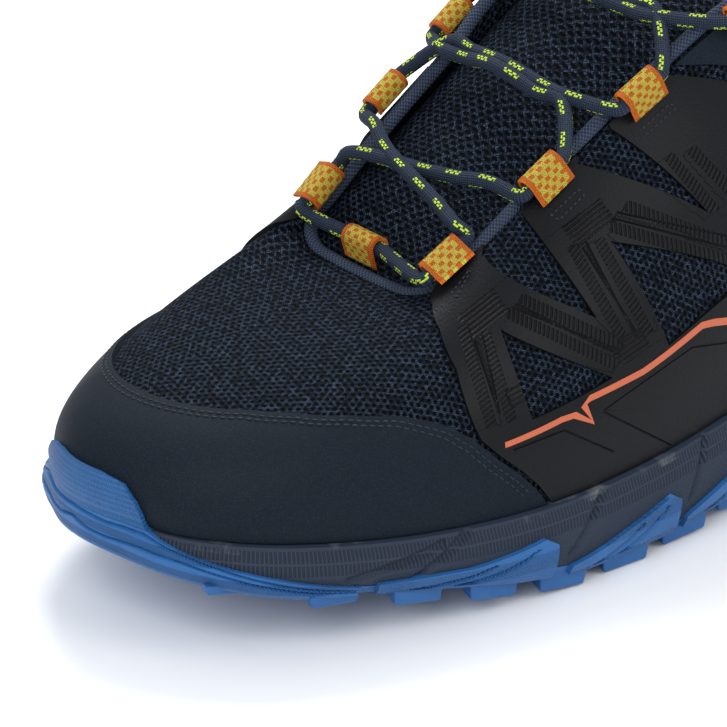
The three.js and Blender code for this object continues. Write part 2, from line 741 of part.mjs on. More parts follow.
// A point across the throat between two stations, over the tongue and the piping
function overTongue(station, across) {
  const crown = along(tongueRows, station) * ballWidth;
  const face = liningFace - tongueClear;
  const away = lastNormal(station, 1).add(lastNormal(-station, 1)).normalize();
  const arch = crown * Math.sin(Math.PI * across) ** tongueShoulder;
  const height = Math.max(arch + laceLift, laceStraight - face);
  return skin(station, 1, face).lerp(skin(-station, 1, face), across).addScaledVector(away, height);
}

function laceTube(points) {
  const path = new THREE.CatmullRomCurve3(points);
  const angles = [0, 1, 2, 3, 4, 5].map((k) => (k * Math.PI) / 3);
  const radius = laceWidth / 2;
  const section = new THREE.Shape(angles.map((angle) => (
    new THREE.Vector2(radius * Math.cos(angle), radius * Math.sin(angle)))));
  const tube = new THREE.ExtrudeGeometry(section, { steps: 2 * points.length - 4, extrudePath: path });
  return toSolid(merged(tube));
}

// A strand from the back of one loop to the front of the next one across the throat
function strand(from, to) {
  const start = foldEnd(from, 1);
  const finish = foldEnd(to, -1);
  const [low, high] = [Math.abs(from) + 0.7, Math.abs(to) - 0.4];
  const lateralStart = from > 0;
  const route = [0.1, 0.26, 0.5, 0.74, 0.9];
  const middle = route.map((w, k) => {
    const station = THREE.MathUtils.lerp(low, high, k / (route.length - 1));
    return overTongue(station, lateralStart ? w : 1 - w);
  });
  return laceTube([start, ...middle, finish]);
}

// The straight bar in front, in two halves, either side of the front loop
function frontBar(side) {
  const frame = frontFrame();
  const across = frame.edge.clone().multiplyScalar(side * Math.sign(frame.edge.y) * -1);
  const start = onFrame(frame, foldDown, foldAway).addScaledVector(across, webbingWidth / 2 + 2 * clear);
  const loop = side > 0 ? lateralLoops[0] : medialLoops[0];
  const finish = foldEnd(loop, -1);
  const bend = start.clone().lerp(finish, 0.5).addScaledVector(across, 1);
  return laceTube([start, start.clone().addScaledVector(across, 3), bend, finish]);
}

function laces() {
  const crossings = [0, 1, 2].map((k) => ({
    name: `lace_cross_${k + 1}`,
    solid: strand(lateralLoops[k], medialLoops[k + 1]).add(strand(medialLoops[k], lateralLoops[k + 1])),
  }));
  const bars = [["lateral", 1], ["medial", -1]].map(([name, side]) => (
    { name: `lace_bar_${name}`, solid: frontBar(side) }));
  return [...bars, ...crossings];
}

const group = new THREE.Group();

function add(name, shape, color, roughness = 0.8) {
  const geometry = shape instanceof THREE.BufferGeometry ? shape : toGeometry(shape);
  const material = new THREE.MeshStandardMaterial({ color, roughness, metalness: 0, flatShading: true });
  const mesh = new THREE.Mesh(geometry, material);
  mesh.name = name;
  group.add(mesh);
}

const rubberBlue = 0x2b6cb5;
const foamSlate = 0x2a3446;
const meshNavy = 0x1c2637;
const capNavy = 0x16202e;
const filmBlack = 0x242428;
const pipingBlue = 0x3c4a63;
const webbingOrange = 0xf0801e;
const laceNavy = 0x2a3a52;

add("outsole", outsole(), rubberBlue, 0.7);
add("midsole", midsole(), foamSlate, 0.85);
add("insole", insole(), 0x20242c, 0.95);
add("upper", layer(liningFace, upperFace), meshNavy, 0.95);
add("tongue", tongue(), meshNavy, 0.95);
add("toe_cap", toeCap(), capNavy, 0.55);
add("heel_counter", heelCounter(), filmBlack, 0.6);
add("collar", collarLining(), meshNavy, 0.95);
add("throat_piping", throatPiping(), pipingBlue, 0.9);
[["lateral", 1], ["medial", -1]].forEach(([name, side]) => {
  add(`cage_${name}`, cage(side), filmBlack, 0.6);
  add(`ankle_panel_${name}`, anklePanel(side), capNavy, 0.6);
});
lateralLoops.forEach((station, k) => {
  add(`loop_lateral_${k + 1}`, webbingLoop(edgeFrame(station), webbingTail), webbingOrange, 0.9);
});
medialLoops.forEach((station, k) => {
  add(`loop_medial_${k + 1}`, webbingLoop(edgeFrame(station), webbingTail), webbingOrange, 0.9);
});
add("loop_front", webbingLoop(frontFrame(), frontLoopTail, frontLoopTurn), webbingOrange, 0.9);
laces().forEach(({ name, solid }) => add(name, solid, laceNavy, 0.85));

// The origin is the middle of the shoe's box, on the floor
const box = new THREE.Box3().setFromObject(group);
group.position.set(-(box.min.x + box.max.x) / 2, -(box.min.y + box.max.y) / 2, 0);

export default group;
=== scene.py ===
# A left trail shoe, seen from its lateral front side.
# Shapes are worked out in the last's own millimetres, with the toe at x 0 and the lateral side at -y.
import math
import bpy
import numpy as np
from mathutils import Matrix, Vector
from mathutils.geometry import delaunay_2d_cdt


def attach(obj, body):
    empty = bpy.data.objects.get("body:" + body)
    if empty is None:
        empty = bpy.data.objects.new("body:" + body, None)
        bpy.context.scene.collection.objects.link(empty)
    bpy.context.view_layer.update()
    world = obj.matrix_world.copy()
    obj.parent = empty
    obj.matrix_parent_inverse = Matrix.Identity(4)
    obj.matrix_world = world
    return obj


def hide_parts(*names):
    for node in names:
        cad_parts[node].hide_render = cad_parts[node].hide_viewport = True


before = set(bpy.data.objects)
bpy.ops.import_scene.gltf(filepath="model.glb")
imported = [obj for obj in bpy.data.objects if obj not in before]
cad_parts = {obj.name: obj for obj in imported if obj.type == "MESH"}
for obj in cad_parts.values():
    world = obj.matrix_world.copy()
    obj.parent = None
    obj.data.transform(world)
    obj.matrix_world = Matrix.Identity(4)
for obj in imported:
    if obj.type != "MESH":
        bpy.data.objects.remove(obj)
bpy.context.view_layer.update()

# Camera: a long lens, at the photograph's angle, and the place of the last in the frame.
# Distances in millimetres; the focal length is in pixels of a square picture.
PICTURE = 727
FOCAL_PIXELS = 4870.0
AZIMUTH, ELEVATION = math.radians(-37.0), math.radians(25.3)
LOOK_AT = np.array([110.0, -10.0, 45.0])
LOOK_FROM = 1150.0
LOOK_RIGHT, LOOK_UP = 22.9, 3.97
SENSOR = 36.0
SHIFT = np.array([-153.196, 5.203, 0.0])

BACK = np.array([
    math.sin(AZIMUTH) * math.cos(ELEVATION), -math.cos(AZIMUTH) * math.cos(ELEVATION), math.sin(ELEVATION)])
RIGHT = np.array([math.cos(AZIMUTH), math.sin(AZIMUTH), 0.0])
UP = np.cross(BACK, RIGHT)

scene = bpy.context.scene
camera = bpy.data.objects.new("camera", bpy.data.cameras.new("camera"))
scene.collection.objects.link(camera)
scene.camera = camera
camera.data.sensor_width = SENSOR
camera.data.lens = FOCAL_PIXELS * SENSOR / PICTURE
camera.data.clip_end = 20
eye = (LOOK_AT + SHIFT + BACK * LOOK_FROM - RIGHT * LOOK_RIGHT - UP * LOOK_UP) / 1000
camera.matrix_world = Matrix.Translation(Vector(eye)) @ Matrix(np.array([RIGHT, UP, BACK]).T).to_4x4()
scene.render.resolution_x = scene.render.resolution_y = 1090
scene.render.engine = "CYCLES"
scene.cycles.samples = 96
scene.cycles.use_denoising = True
scene.view_settings.view_transform = "Standard"


# Shader helper: one material, with nodes made and joined by short calls.
class Look:
    def __init__(self, name, color, roughness, specular=0.35):
        self.material = bpy.data.materials.new(name)
        self.material.use_nodes = True
        self.tree = self.material.node_tree
        self.surface = self.tree.nodes["Principled BSDF"]
        self.surface.inputs["Specular IOR Level"].default_value = specular
        self.paint(color)
        self.put(self.surface, "Roughness", roughness)

    def put(self, node, key, value):
        socket = node.inputs[key]
        if isinstance(value, bpy.types.NodeSocket):
            self.tree.links.new(value, socket)
        elif isinstance(value, tuple) and len(value) == 3 and socket.type == "RGBA":
            socket.default_value = (*value, 1)
        else:
            socket.default_value = value

    def node(self, kind, inputs=(), **settings):
        node = self.tree.nodes.new(kind)
        for key, value in settings.items():
            setattr(node, key, value)
        for key, value in dict(inputs).items():
            self.put(node, key, value)
        return node

    def math(self, operation, *values):
        node = self.node("ShaderNodeMath", operation=operation)
        for k, value in enumerate(values):
            self.put(node, k, value)
        return node.outputs[0]

    def times(self, first, second):
        return self.math("MULTIPLY", first, second)

    def plus(self, first, second):
        return self.math("ADD", first, second)

    def less(self, first, second):
        return self.math("LESS_THAN", first, second)

    def mix(self, share, first, second):
        node = self.node("ShaderNodeMix", data_type="RGBA")
        for key, value in ((0, share), (6, first), (7, second)):
            self.put(node, key, value)
        return node.outputs[2]

    def band(self, value, low, high):
        return self.node("ShaderNodeMapRange", {
            "Value": value, "From Min": low, "From Max": high}).outputs[0]

    def place(self, kind):
        return self.node("ShaderNodeTexCoord").outputs[kind]

    def uv(self):
        return self.node("ShaderNodeSeparateXYZ", {"Vector": self.place("UV")}).outputs[:2]

    def noise(self, scale, detail=3.0):
        return self.node("ShaderNodeTexNoise", {
            "Vector": self.place("Object"), "Scale": scale, "Detail": detail}).outputs[0]

    def waves(self, value, pitch):
        return self.math("SINE", self.times(value, 2 * math.pi / pitch))

    def paint(self, color):
        self.put(self.surface, "Base Color", color)

    def bump(self, height, distance, strength=1.0, under=None):
        node = self.node("ShaderNodeBump", {"Height": height, "Distance": distance, "Strength": strength})
        if under is not None:
            self.put(node, "Normal", under)
        self.put(self.surface, "Normal", node.outputs[0])
        return node.outputs[0]


# Floor and light: a white studio sweep, a high soft key from behind the heel and a wide fill.
floor_look = Look("floor_white", (0.93, 0.935, 0.945), 0.32, 0.25)
bpy.ops.mesh.primitive_plane_add(size=9, location=(0, 0, -0.0004))
floor = bpy.context.object
floor.name = "floor"
floor.data.materials.append(floor_look.material)
world = bpy.data.worlds.new("studio")
scene.world = world
world.use_nodes = True
sky = world.node_tree.nodes["Background"].inputs
sky["Color"].default_value, sky["Strength"].default_value = (0.93, 0.96, 1, 1), 0.75
for name, place, size, power in (
        ("key", (0.45, 0.6, 1.1), 0.6, 15), ("fill", (-1.1, -0.8, 1.1), 1.0, 15),
        ("side", (0.5, -1.2, 0.9), 0.8, 7)):
    data = bpy.data.lights.new(name, "AREA")
    data.size, data.energy = size, power
    lamp = bpy.data.objects.new(name, data)
    scene.collection.objects.link(lamp)
    lamp.location = place
    lamp.rotation_euler = (Vector((-0.04, 0, 0.05)) - lamp.location).to_track_quat("-Z", "Y").to_euler()

# Last: named sizes and the section table of the shoe, toe tip first along the lateral side.
# x, topX: share of length; y, bulge, topY, reach: share of ball width; z: share of sole height;
# rise, drop: share of instep height; topZ: share of instep height, or of heel height round the collar.
LENGTH, BALL, INSTEP, HEEL, SOLE = 300.0, 112.0, 123.0, 117.0, 38.0
LATERAL = [
    (0.03, 0.018, 0.816, 0.04, 0.163, 0.297, 0.027, 0.528, 0.482, 0.065),
    (0.041, -0.116, 0.816, 0.038, 0.163, 0.298, -0.054, 0.53, 0.464, 0.065),
    (0.067, -0.248, 0.789, 0.032, 0.163, 0.3, -0.129, 0.537, 0.393, 0.065),
    (0.123, -0.375, 0.763, 0.027, 0.179, 0.31, -0.192, 0.561, 0.286, 0.081),
    (0.22, -0.451, 0.684, 0.027, 0.195, 0.338, -0.21, 0.607, 0.196, 0.081),
    (0.333, -0.478, 0.632, 0.027, 0.22, 0.377, -0.214, 0.663, 0.143, 0.089),
    (0.447, -0.46, 0.658, 0.027, 0.252, 0.443, -0.214, 0.756, 0.116, 0.114),
    (0.56, -0.415, 0.737, 0.018, 0.276, 0.523, -0.223, 0.87, 0.098, 0.146),
    (0.68, -0.371, 0.816, 0.018, 0.276, 0.613, -0.268, 0.984, 0.054, 0.195),
]
COLLAR = [
    (0.8, -0.344, 0.895, 0.018, 0.244, 0.72, -0.304, 0.915, 0.027, 0.163),
    (0.893, -0.295, 0.947, 0.018, 0.228, 0.833, -0.277, 0.838, 0.036, 0.146),
    (0.957, -0.17, 1, 0.027, 0.228, 0.92, -0.152, 0.915, 0.054, 0.195),
    (0.98, 0, 1, 0.036, 0.228, 0.953, 0, 1, 0.071, 0.228),
    (0.957, 0.17, 1, 0.027, 0.228, 0.92, 0.152, 0.923, 0.054, 0.195),
    (0.893, 0.281, 0.947, 0.018, 0.228, 0.833, 0.277, 0.855, 0.036, 0.146),
    (0.8, 0.299, 0.895, 0.018, 0.244, 0.72, 0.312, 0.932, 0.027, 0.163),
]
MEDIAL = [
    (0.68, 0.29, 0.842, 0.018, 0.276, 0.613, 0.304, 1, 0.036, 0.195),
    (0.56, 0.308, 0.816, 0.027, 0.276, 0.523, 0.308, 0.902, 0.054, 0.146),
    (0.433, 0.348, 0.763, 0.036, 0.26, 0.443, 0.281, 0.793, 0.08, 0.114),
    (0.313, 0.38, 0.737, 0.022, 0.215, 0.37, 0.259, 0.687, 0.1, 0.089),
    (0.207, 0.38, 0.737, 0.013, 0.18, 0.328, 0.25, 0.618, 0.15, 0.081),
    (0.123, 0.333, 0.763, 0.02, 0.14, 0.305, 0.241, 0.569, 0.286, 0.081),
    (0.07, 0.239, 0.789, 0.03, 0.146, 0.295, 0.192, 0.538, 0.384, 0.065),
    (0.043, 0.134, 0.816, 0.038, 0.154, 0.295, 0.112, 0.53, 0.464, 0.065),
]
SECTIONS = np.concatenate([
    np.array(rows) * [LENGTH, BALL, SOLE, BALL, INSTEP, LENGTH, BALL, top, BALL, INSTEP]
    for rows, top in ((LATERAL, INSTEP), (COLLAR, HEEL), (MEDIAL, INSTEP))])
CLEAR, WALL, FILM = 0.3, 2.0, 0.8
FILM_FACE = (FILM + CLEAR) / 2
UPPER_FACE = FILM_FACE - FILM - CLEAR
LINING_FACE = UPPER_FACE - WALL
Z = np.array([0.0, 0.0, 1.0])


def spline(a, b, c, d, t):
    return 0.5 * (2 * b + (c - a) * t + (2 * a - 5 * b + 4 * c - d) * t ** 2
                  + (3 * b - a - 3 * c + d) * t ** 3)


def section(station):
    station = np.asarray(station, float) % len(SECTIONS)
    row = np.floor(station).astype(int)
    t = (station - row)[..., None]
    a, b, c, d = (SECTIONS[(row + k) % len(SECTIONS)] for k in (-1, 0, 1, 2))
    return spline(a, b, c, d, t)


def from_tip(station):
    return np.abs((np.asarray(station, float) + 12) % 24 - 12)


def unit(vectors):
    return vectors / np.maximum(np.linalg.norm(vectors, axis=-1, keepdims=True), 1e-9)


def outward(station):
    along = section(np.asarray(station) + 1e-3)[..., :2] - section(np.asarray(station) - 1e-3)[..., :2]
    return unit(np.stack([along[..., 1], -along[..., 0], 0 * along[..., 0]], -1)) * TURN


TURN = 1.0
TURN = float(np.sign(outward(12.0)[0]))


def last_point(station, share):
    station, share = np.broadcast_arrays(np.asarray(station, float), np.asarray(share, float))
    row = section(station)
    foot, edge = row[..., 0:3], row[..., 5:8]
    low = foot + outward(station) * row[..., 3:4] + Z * row[..., 4:5]
    level = unit((foot - edge) * [1, 1, 0])
    high = edge + level * row[..., 8:9] - Z * row[..., 9:10]
    t = share[..., None]
    return (1 - t) ** 3 * foot + 3 * (1 - t) ** 2 * t * low + 3 * (1 - t) * t * t * high + t ** 3 * edge


def last_normal(station, share):
    station, share = np.broadcast_arrays(np.asarray(station, float), np.asarray(share, float))
    around = last_point(station + 1e-3, share) - last_point(station - 1e-3, share)
    up = last_point(station, share + 1e-3) - last_point(station, share - 1e-3)
    return unit(np.cross(up, around)) * FACING


FACING = 1.0
FACING = float(np.sign(last_normal(5.0, 0.4) @ outward(5.0)))


def skin(station, share, offset):
    return last_point(station, share) + last_normal(station, share) * np.asarray(offset)[..., None]


def edge_frame(station):
    origin, away = last_point(station, 1.0), last_normal(station, 1.0)
    edge = unit(last_point(station + 0.01, 1.0) - last_point(station - 0.01, 1.0))
    return origin, np.cross(edge, away), away, edge


# Mesh helpers: an object from points in the last's millimetres, and strips of quads.
def piece(name, points, faces, look, uv=None, smooth=True, replaces=(), slot=None):
    mesh = bpy.data.meshes.new(name)
    places = (np.asarray(points).reshape(-1, 3) + SHIFT) / 1000
    mesh.from_pydata(places.tolist(), [], [tuple(f) for f in faces])
    if uv is not None:
        layer = mesh.uv_layers.new(name="UVMap")
        corners = np.zeros(len(mesh.loops), int)
        mesh.loops.foreach_get("vertex_index", corners)
        layer.data.foreach_set("uv", np.asarray(uv, float).reshape(-1, 2)[corners].ravel())
    mesh.validate()
    mesh.shade_smooth() if smooth else mesh.shade_flat()
    mesh.materials.append(look.material)
    made = bpy.data.objects.new(name, mesh)
    scene.collection.objects.link(made)
    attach(made, "root")
    if replaces:
        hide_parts(*replaces)
    return made


def quads(rows, columns, wrap_rows=False, wrap_columns=False):
    i = np.arange(rows if wrap_rows else rows - 1)
    j = np.arange(columns if wrap_columns else columns - 1)
    i, j = (a.ravel() for a in np.meshgrid(i, j, indexing="ij"))
    below, beside = (i + 1) % rows, (j + 1) % columns
    return np.stack([i * columns + j, i * columns + beside, below * columns + beside, below * columns + j], 1)


def closed(rings):
    rows, columns = np.shape(rings)[:2]
    last = (rows - 1) * columns
    ends = [list(range(columns))[::-1], list(range(last, last + columns))]
    return [*quads(rows, columns, wrap_columns=True), *ends]


def turned_out(made):
    bpy.context.view_layer.update()
    bpy.ops.object.select_all(action="DESELECT")
    made.select_set(True)
    bpy.context.view_layer.objects.active = made
    bpy.ops.object.mode_set(mode="EDIT")
    bpy.ops.mesh.select_all(action="SELECT")
    bpy.ops.mesh.normals_make_consistent(inside=False)
    bpy.ops.object.mode_set(mode="OBJECT")
    return made


def crisp(made, degrees=50):
    turned_out(made).modifiers.new("edges", "EDGE_SPLIT").split_angle = math.radians(degrees)


def smoothed(made, levels):
    modifier = turned_out(made).modifiers.new("smooth", "SUBSURF")
    modifier.levels = modifier.render_levels = levels


# Pattern coordinates on the upper, in millimetres: a slanted plane over the toes on either side,
# and lengths along and up the upper further back.
SLANT = unit(np.array([-0.15, 0.62, 0.77]))
ACROSS = unit(np.cross(SLANT, np.cross([1.0, 0, 0], SLANT)))
MIDLINE, FRONT_ENDS, BLEND_OVER = 3.0, 7.5, 2.0


def pattern(station, share):
    points = last_point(station, share)
    folded = points.copy()
    folded[..., 1] = np.abs(folded[..., 1] - MIDLINE)
    front = np.stack([folded @ ACROSS, folded @ np.cross(ACROSS, SLANT)], -1)
    row = section(station)
    back = np.stack([0.5 * row[..., 0] + 0.5 * row[..., 5] + 0.3 * points[..., 0], 100 * share], -1)
    blend = np.clip((from_tip(station) - FRONT_ENDS) / BLEND_OVER, 0, 1)[..., None]
    return front * (1 - blend) + back * blend


# Mesh fabric: a knitted spacer net. Three crossed waves give its holes in a hexagon lattice,
# painted near black as shade, and finer waves the raised threads between them, with painted
# highlights as glints on them.
NET_PITCH, HEXAGON = 1.6, 0.866
# The second colour is painted shade: the near black seen through the net's holes.
THREAD, HOLE_SHADE = (0.0115, 0.0172, 0.029), (0.0006, 0.0008, 0.0014)


def net_look():
    look = Look("mesh_navy", THREAD, 0.85, 0.06)
    x, y = look.uv()
    wobble = look.times(look.math("SUBTRACT", look.noise(260), 0.5), 0.5)
    total = 0.0
    for turn in (0, 60, 120):
        c, s = math.cos(math.radians(turn)), math.sin(math.radians(turn))
        line = look.plus(look.plus(look.times(x, c), look.times(y, s)), wobble)
        total = look.plus(total, look.math("COSINE", look.times(line, 2 * math.pi / NET_PITCH / HEXAGON)))
    hole = look.band(total, -0.1, 0.9)
    strands = look.waves(look.plus(y, look.times(look.waves(x, NET_PITCH), 0.22)), NET_PITCH / 3.1)
    tone = look.times(look.band(strands, -1.0, 1.0), look.math("SUBTRACT", 1.0, hole))
    # Painted highlight: random bright glints painted into the threads' colour.
    painted_glint = look.times(tone, look.band(look.noise(900, 1), 0.4, 0.8))
    dim, painted_glint_color = (tuple(gain * v for v in THREAD) for gain in (0.4, 5.4))
    look.paint(look.mix(hole, look.mix(painted_glint, dim, painted_glint_color), HOLE_SHADE))
    look.bump(look.math("SUBTRACT", look.times(tone, 0.35), hole), 0.0006, 0.9)
    return look


net = net_look()

# Upper: one shell with a wall, open at the throat, the collar and underneath.
ROUND = np.linspace(0, 24, 481)[:-1]
RISE = np.linspace(0, 1, 61)
shell_u, shell_t = np.meshgrid(ROUND, np.concatenate([RISE, RISE[::-1]]), indexing="ij")
shell_offset = np.where(np.arange(2 * len(RISE)) < len(RISE), UPPER_FACE, LINING_FACE)[None] + 0 * shell_u
shell_faces = quads(*shell_u.shape, wrap_rows=True, wrap_columns=True)
turned_out(piece(
    "upper_mesh", skin(shell_u, shell_t, shell_offset), shell_faces, net, uv=pattern(shell_u, shell_t),
    replaces=["upper"], slot="mesh_navy"))


# Film pieces: a region of the upper or of the sole's side, cut out along its outline with its windows.
# Outlines are rows of station and share. Relief is added to the face, in millimetres.
def inside(points, ring):
    ring = np.asarray(ring)
    x, y = points[:, 0], points[:, 1]
    odd = np.zeros(len(points), bool)
    for (ax, ay), (bx, by) in zip(ring, np.roll(ring, -1, 0)):
        crosses = (ay > y) != (by > y)
        odd ^= crosses & (x < (bx - ax) * (y - ay) / np.where(by == ay, 1e-9, by - ay) + ax)
    return odd


def stepped(ring, step):
    ring = np.asarray(ring, float)
    points = []
    for a, b in zip(ring, np.roll(ring, -1, 0)):
        count = max(1, int(np.ceil(np.linalg.norm(b - a) / step)))
        points += [a + (b - a) * k / count for k in range(count)]
    return np.array(points)


SKIN_SCALE, SOLE_SCALE, BUMPER_SCALE = (27.0, 80.0), (27.0, 20.0), (27.0, 26.0)
RIM_CLEAR, RIM_BLOCKS = 0.55, 200


def cut_out(name, outline, look, face, thick, surface=skin, windows=(), step=0.8, relief=None,
            scale=SKIN_SCALE, replaces=(), slot=None, uv=pattern, fields=None):
    size = np.array(scale)
    rings = [stepped(np.array(ring) * size, step) for ring in (outline, *windows)]
    low, high = rings[0].min(0), rings[0].max(0)
    ticks = [np.arange(a, b, step) for a, b in zip(low, high)]
    grid = np.stack(np.meshgrid(*ticks), -1).reshape(-1, 2)
    grid[:, 0] += (np.round((grid[:, 1] - low[1]) / step) % 2) * step / 2
    keep = inside(grid, rings[0])
    for ring in rings[1:]:
        keep &= ~inside(grid, ring)
    near = np.concatenate(rings)
    for block in np.array_split(np.arange(len(near)), max(1, len(near) // RIM_BLOCKS)):
        distance = np.linalg.norm(grid[:, None] - near[block][None], axis=-1).min(1)
        keep &= distance > RIM_CLEAR * step
    points = np.concatenate([near, grid[keep]])
    edges, start = [], 0
    for ring in rings:
        edges += [(start + k, start + (k + 1) % len(ring)) for k in range(len(ring))]
        start += len(ring)
    flat, _, faces, *_ = delaunay_2d_cdt([Vector(p) for p in points], edges, [], 0, 1e-5)
    flat = np.array([tuple(p) for p in flat])
    faces = np.array([f for f in faces if len(f) == 3])
    middle = flat[faces].mean(1)
    good = inside(middle, rings[0])
    for ring in rings[1:]:
        good &= ~inside(middle, ring)
    faces = faces[good]
    station, share = flat[:, 0] / size[0], flat[:, 1] / size[1]
    top = surface(station, share, np.full(len(flat), face))
    if relief is not None:
        top = surface(station, share, face + relief(top, station, share))
    pairs = np.sort(np.concatenate([faces[:, [0, 1]], faces[:, [1, 2]], faces[:, [2, 0]]]), 1)
    lines, counts = np.unique(pairs, axis=0, return_counts=True)
    rim = lines[counts == 1]
    base = surface(station, share, np.full(len(flat), face - thick))
    every = np.concatenate([top, base])
    skirt = np.stack([rim[:, 0], rim[:, 1], rim[:, 1] + len(flat), rim[:, 0] + len(flat)], 1)
    used = np.unique(np.concatenate([faces.ravel(), skirt.ravel()]))
    index = np.full(len(every), -1)
    index[used] = np.arange(len(used))
    spread = uv(np.tile(station, 2), np.tile(share, 2))[used]
    made = piece(
        name, every[used], [*index[faces], *index[skirt]], look, uv=spread, replaces=replaces, slot=slot)
    for key, values in (fields(np.tile(top, (2, 1))) if fields else {}).items():
        made.data.attributes.new(key, "FLOAT", "POINT").data.foreach_set("value", values[used])
    crisp(made)


def mirror(rows):
    return [(-station, share) for station, share in rows]


# Toe cap: a moulded overlay with a fine speckle. Its edge is laid double, with two rows of stitches.
CAP_EDGE = [
    (5.04, 0), (4.94, 0.057), (4.8, 0.123), (4.62, 0.193), (4.41, 0.283), (4.19, 0.353), (3.95, 0.4),
    (3.7, 0.443), (3.16, 0.493), (2.55, 0.527), (1.9, 0.537), (1.2, 0.517), (0.65, 0.507), (0.3, 0.503),
    (-0.31, 0.497), (-1, 0.49), (-1.8, 0.483), (-2.6, 0.475), (-3.1, 0.455), (-3.6, 0.43),
    (-4.19, 0.353), (-4.41, 0.283),
    (-4.62, 0.193), (-4.8, 0.123), (-4.94, 0.057), (-5.04, 0),
]
cap_look = Look("cap_navy", (0.0045, 0.009, 0.016), 0.5, 0.12)
speckle = cap_look.noise(2600, 2)
cap_look.paint(cap_look.mix(
    cap_look.band(speckle, 0.45, 0.8), (0.0035, 0.0068, 0.012), (0.0085, 0.0155, 0.026)))
cap_look.put(cap_look.surface, "Roughness", cap_look.band(cap_look.noise(30), -0.9, 1.3))
cap_look.bump(speckle, 0.0003, 0.25)
FILM_DEPTH = FILM + 0.3
cut_out("toe_cap_overlay", CAP_EDGE, cap_look, FILM_FACE, FILM_DEPTH, step=1.2, replaces=["toe_cap"],
        slot="cap_navy")

# Side cages: welded film over the mesh, with triangular windows. Ladders of low ribs run down its legs
# and grooves run below each lace loop. They are traced in pixels of the photograph.
CAGE_EDGE = [
    (3.05, 1.0), (3.5, 0.88), (3.85, 0.74), (4.18, 0.553), (4.36, 0.37), (4.46, 0.28), (4.64, 0.202),
    (4.82, 0.132), (4.96, 0.068), (5.08, 0), (9.6, 0), (9.55, 0.42), (8.2, 0.66), (7.48, 0.83), (7.03, 1.0),
]
WINDOWS = [
    [(4.66, 0.627), (4.9, 0.29), (5.65, 0.297)],
    [(5.95, 0.673), (6.21, 0.29), (7.15, 0.32)],
    [(7.25, 0.68), (7.55, 0.26), (8.55, 0.28)],
]
THROAT_GAPS = [
    [(4.42, 1.0), (4.4, 0.955), (5.61, 0.49), (5.19, 0.98), (5.19, 1.0)],
    [(5.98, 1.0), (5.96, 0.97), (6.89, 0.547), (6.4, 0.98), (6.4, 1.0)],
]
CAGE_OUTLINE = [CAGE_EDGE[0], *THROAT_GAPS[0], *THROAT_GAPS[1], *CAGE_EDGE[:0:-1]]
LADDER_PIXELS = [
    ((462, 325), (492, 427)), ((484, 331), (512, 422)), ((520, 298), (624, 347)), ((508, 313), (617, 365)),
    ((572, 246), (622, 338)), ((598, 238), (649, 334)), ((625, 205), (727, 243)), ((610, 226), (727, 260)),
    ((668, 155), (716, 212)), ((690, 148), (740, 200)),
]
SPEAR_PIXELS = [
    ((474, 340), (499, 413)), ((482, 333), (500, 415)), ((511, 307), (622, 351)), ((515, 303), (620, 355)),
    ((585, 240), (637, 340)), ((582, 247), (640, 338)), ((612, 218), (727, 247)), ((616, 212), (727, 236)),
]
HATCH_PIXELS = [
    ((475, 302), (493, 325), 5.0), ((580, 212), (597, 234), 5.2), ((637, 357), (624, 338), 4.0),
    ((520, 404), (511, 388), 2.6),
]
PANEL_PIXELS = [
    ((602, 411), (672, 446)), ((602, 411), (692, 347)), ((692, 347), (730, 342)), ((513, 450), (564, 430)),
    ((564, 430), (614, 452)),
]
RIB_PITCH, RIB_HALF, RIB_SLANT, PIXELS_PER_MM = 1.12, 1.25, 0.4, 4.3


def in_picture(points):
    d = points - LOOK_AT
    depth = LOOK_FROM - d @ BACK
    half = PICTURE / 2
    return np.stack([half + FOCAL_PIXELS * (d @ RIGHT + LOOK_RIGHT) / depth,
                     half - FOCAL_PIXELS * (d @ UP + LOOK_UP) / depth], -1)


def beside_line(pixels, start, end):
    way = np.subtract(end, start) / PIXELS_PER_MM
    length = np.hypot(*way)
    off = (pixels - start) / PIXELS_PER_MM
    return off @ way / length, (off[:, 0] * way[1] - off[:, 1] * way[0]) / length, length


def cage_fields(points):
    pixels = in_picture(points)
    off, along, groove = np.full(len(points), 9.0), np.zeros(len(points)), np.full(len(points), 9.0)
    bands = [(*ends, RIB_HALF, RIB_SLANT) for ends in LADDER_PIXELS] + [(*ends, 0.0) for ends in HATCH_PIXELS]
    for start, end, half, slant in bands:
        t, s, length = beside_line(pixels, start, end)
        nearer = (t > 0) & (t < length) & (np.abs(s / half) < np.abs(off))
        off, along = np.where(nearer, s / half, off), np.where(nearer, (t + slant * s) / RIB_PITCH, along)
    for start, end in [*SPEAR_PIXELS, *PANEL_PIXELS]:
        t, s, length = beside_line(pixels, start, end)
        groove = np.where((t > 0) & (t < length) & (np.abs(s) < np.abs(groove)), s, groove)
    return {"rib_off": off, "rib_along": along, "groove": groove}


# Black film. On the seen side the ribs and grooves are pressed in: rib_off runs from -1 to 1 across a
# ladder, rib_along counts its ribs, and groove is the distance from the nearest line in millimetres.
GROOVE_HALF, BAND_EDGE = 0.3, (1.1, 0.9)


def film(name, color, roughness, specular):
    look = Look(name, color, roughness, specular)
    return look, look.bump(look.noise(1500, 2), 0.0003, 0.3)


